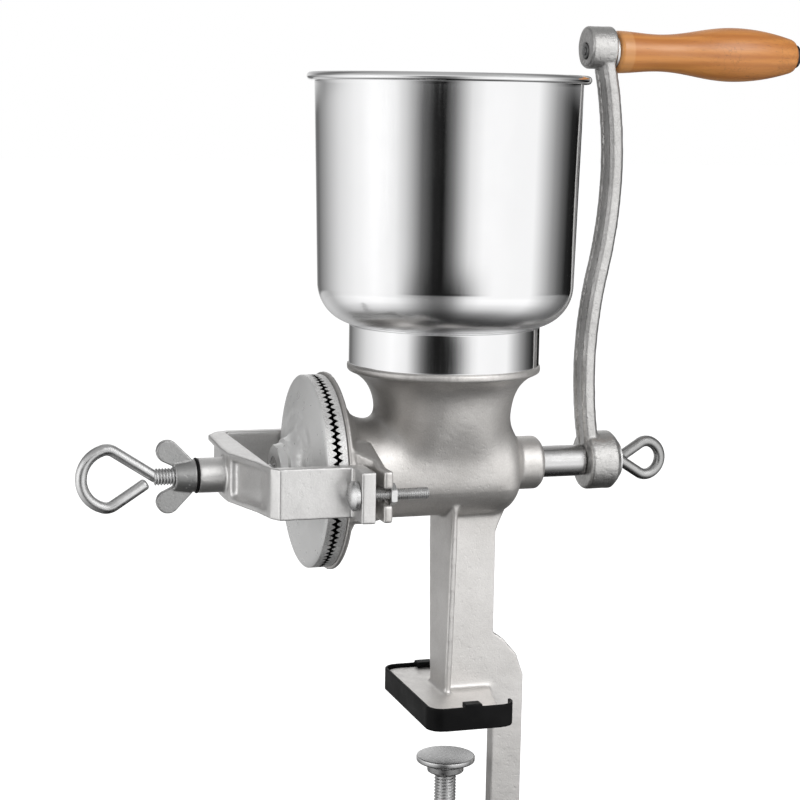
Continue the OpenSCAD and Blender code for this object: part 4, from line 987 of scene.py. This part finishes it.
# small inner pieces keep their solids
innerPieces = dict(burr_locating_pins=plainMetal, burr_drive_pin=plainMetal, thrust_ball=plainMetal,
                   crank_washer=zincMetal, grip_washer=zincMetal)
for nodeName, metal in innerPieces.items():
    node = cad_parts[nodeName]
    node.data.materials.clear()
    node.data.materials.append(metal)


# studio: white surroundings, pale floor, soft lamps and dark flats for the polished metal
studio = dict(floorZ=-0.174, floorSize=30.0, ambient=0.40, floorTone=(0.45, 0.45, 0.45), floorGlow=0.86)
lamps = dict(
    key=dict(place=(0.8, -1.5, 1.25), aim=(0.0, 0.0, 0.16), size=(1.1, 1.1), power=25.0),
    fill=dict(place=(0.55, -1.65, 0.12), aim=(0.0, 0.0, 0.10), size=(1.0, 0.5), power=4.5),
    side=dict(place=(-1.6, -0.35, 0.42), aim=(-0.1, 0.0, 0.13), size=(0.8, 0.8), power=9.0),
    back=dict(place=(0.2, 1.5, 1.4), aim=(0.0, 0.0, 0.2), size=(1.4, 0.8), power=10.0),
)
leftSide = ((-180, 0.95), (-168, 0.9), (-160, 0.2), (-150, 0.15), (-130, 0.4), (-105, 0.8), (-85, 1.0),
            (-65, 1.1), (-45, 0.95))
rightEdge = ((140, 0.01), (173, 0.01), (180, 0.06))
surround = dict(  # seen by reflections only: brightness by degrees to the right of the camera
    radius=1.3, around=180,
    band=(*leftSide, (-36, 0.7), (-22, 0.15), (-12, 0.02), (-4, 0.01), (4, 0.2), (18, 0.85), (30, 1.05),
          (78, 1.05), (91, 0.64), (102, 0.34), (115, 0.13), (128, 0.02), *rightEdge),
    under=(*leftSide, (-34, 0.45), (-27, 0.18), (-19, 0.045), (-12, 0.012), (-4, 0.01), (3, 0.012), (10, 0.07),
           (17, 0.27), (24, 0.56), (31, 0.85), (40, 1.05), (78, 1.05), (91, 0.62), (102, 0.34), (115, 0.13),
           (128, 0.03), *rightEdge),
    low=((-180, 0.35), (-150, 0.62), (-125, 0.45), (-105, 0.8), (-85, 1.0), (-65, 1.1), (-45, 0.95), (-36, 0.7),
         (-22, 0.3), (-12, 0.16), (-4, 0.16), (4, 0.3), (18, 0.85), (30, 1.05), (78, 1.05), (100, 0.55),
         (123, 0.2), (140, 0.1), (165, 0.2), (180, 0.35)),
    open=((-180, 1.0), (-150, 0.8), (-130, 0.3), (-110, 0.4), (-85, 0.95), (-30, 1.1), (78, 1.05), (100, 0.6),
          (123, 0.3), (145, 0.4), (160, 0.9), (180, 1.0)),
    rows=((-0.172, "low", 1.05), (-0.03, "low", 1.0), (0.01, "under", 1.0), (0.055, "under", 1.0),
          (0.09, "band", 1.0), (0.30, "band", 1.0), (0.35, "open", 0.9), (0.65, "open", 0.64),
          (1.3, "open", 0.45)),  # height, table, gain
    ceiling=0.45, floorZ=-0.172, floorRadii=(0.02, 0.16, 0.3, 0.5, 0.8, 1.3),
    floorLevels=((0.0, 0.02), (0.16, 0.04), (0.3, 0.22), (0.5, 0.72), (0.8, 1.05), (1.3, 1.12)))


def seenRays(tree):
    path = tree.nodes.new("ShaderNodeLightPath")
    seen = reckon(tree, "MAXIMUM", path.outputs["Is Camera Ray"], path.outputs["Is Glossy Ray"])
    return reckon(tree, "MAXIMUM", seen, path.outputs["Is Transmission Ray"])


def makeWorld():
    world = bpy.data.worlds.new("studioWorld")
    bpy.context.scene.world = world
    world.use_nodes = True
    tree = world.node_tree
    tone = tree.nodes["Background"]
    level = studio["ambient"]
    colour = mixColour(tree, seenRays(tree), (level, level, level, 1), (1, 1, 1, 1))
    tree.links.new(colour, tone.inputs["Color"])


def makeFloor():
    half = studio["floorSize"] / 2
    mesh = bpy.data.meshes.new("studioFloor")
    corners = [(-half, -half, 0), (half, -half, 0), (half, half, 0), (-half, half, 0)]
    mesh.from_pydata(corners, [], [(0, 1, 2, 3)])
    floor = newObject("studioFloor", mesh)
    floor.location.z = studio["floorZ"]
    shader = Shader("paleFloor")
    tree = shader.tree
    tree.nodes.remove(shader.surface)
    plain = tree.nodes.new("ShaderNodeBsdfDiffuse")
    plain.inputs["Color"].default_value = (*studio["floorTone"], 1)
    glow = tree.nodes.new("ShaderNodeEmission")
    tree.links.new(reckon(tree, "MULTIPLY", seenRays(tree), studio["floorGlow"]), glow.inputs["Strength"])
    both = tree.nodes.new("ShaderNodeAddShader")
    tree.links.new(plain.outputs[0], both.inputs[0])
    tree.links.new(glow.outputs[0], both.inputs[1])
    tree.links.new(both.outputs[0], tree.nodes["Material Output"].inputs["Surface"])
    mesh.materials.append(shader.material)


def makeLamp(name, lamp):
    data = bpy.data.lights.new(name, "AREA")
    data.shape = "RECTANGLE"
    data.size, data.size_y = lamp["size"]
    data.energy = lamp["power"]
    light = newObject(name, data)
    light.location = lamp["place"]
    light.rotation_euler = (Vector(lamp["aim"]) - Vector(lamp["place"])).to_track_quat("-Z", "Y").to_euler()


def between(table, value):
    for (x0, y0), (x1, y1) in zip(table, table[1:]):
        if value <= x1:
            return y0 + (y1 - y0) * (value - x0) / (x1 - x0)
    return table[-1][1]


def reflectedCard(name, points, faces, levels):
    mesh = bpy.data.meshes.new(name)
    mesh.from_pydata(points, [], faces)
    mesh.attributes.new("level", "FLOAT", "POINT").data.foreach_set("value", levels)
    card = newObject(name, mesh)
    shader = Shader(name)
    tree = shader.tree
    tree.nodes.remove(shader.surface)
    level = tree.nodes.new("ShaderNodeAttribute")
    level.attribute_name = "level"
    glow = tree.nodes.new("ShaderNodeEmission")
    tree.links.new(level.outputs["Fac"], glow.inputs["Strength"])
    tree.links.new(glow.outputs[0], tree.nodes["Material Output"].inputs["Surface"])
    shader.material.cycles.emission_sampling = "NONE"
    mesh.materials.append(shader.material)
    card.visible_camera = False
    card.visible_diffuse = False
    card.visible_shadow = False


def makeSurround():
    s = surround
    ahead = math.radians(-90 - view["azimuth"])
    around = s["around"]
    points, faces, levels = [], [], []
    for k in range(around + 1):
        degrees = -180 + 360 * k / around
        turn = ahead + math.radians(degrees)
        for z, table, gain in s["rows"]:
            points.append((hopperX * mm + s["radius"] * math.cos(turn), s["radius"] * math.sin(turn), z))
            levels.append(between(s[table], degrees) * gain)
    rows = len(s["rows"])
    for k in range(around):
        for r in range(rows - 1):
            i = k * rows + r
            faces.append((i, i + rows, i + rows + 1, i + 1))
    points.append((0, 0, s["rows"][-1][0]))
    levels.append(s["ceiling"])
    top = [k * rows + rows - 1 for k in range(around + 1)]
    faces += [(a, b, len(points) - 1) for a, b in zip(top, top[1:])]
    reflectedCard("surroundWall", points, faces, levels)
    points, faces, levels = [], [], []
    radii = s["floorRadii"]
    for radius in radii:
        for k in range(around):
            degrees = -180 + 360 * k / around
            turn = ahead + math.radians(degrees)
            points.append((radius * math.cos(turn), radius * math.sin(turn), s["floorZ"]))
            levels.append(between(s["floorLevels"], radius) * between(s["low"], degrees))
    for r in range(len(radii) - 1):
        for k in range(around):
            i, n = r * around + k, r * around + (k + 1) % around
            faces.append((i, n, n + around, i + around))
    reflectedCard("surroundFloor", points, faces, levels)


makeWorld()
makeFloor()
for lampName, lampValues in lamps.items():
    makeLamp("lamp" + lampName.capitalize(), lampValues)
makeSurround()
bpy.context.scene.view_settings.view_transform = "Standard"
print("studio lit")
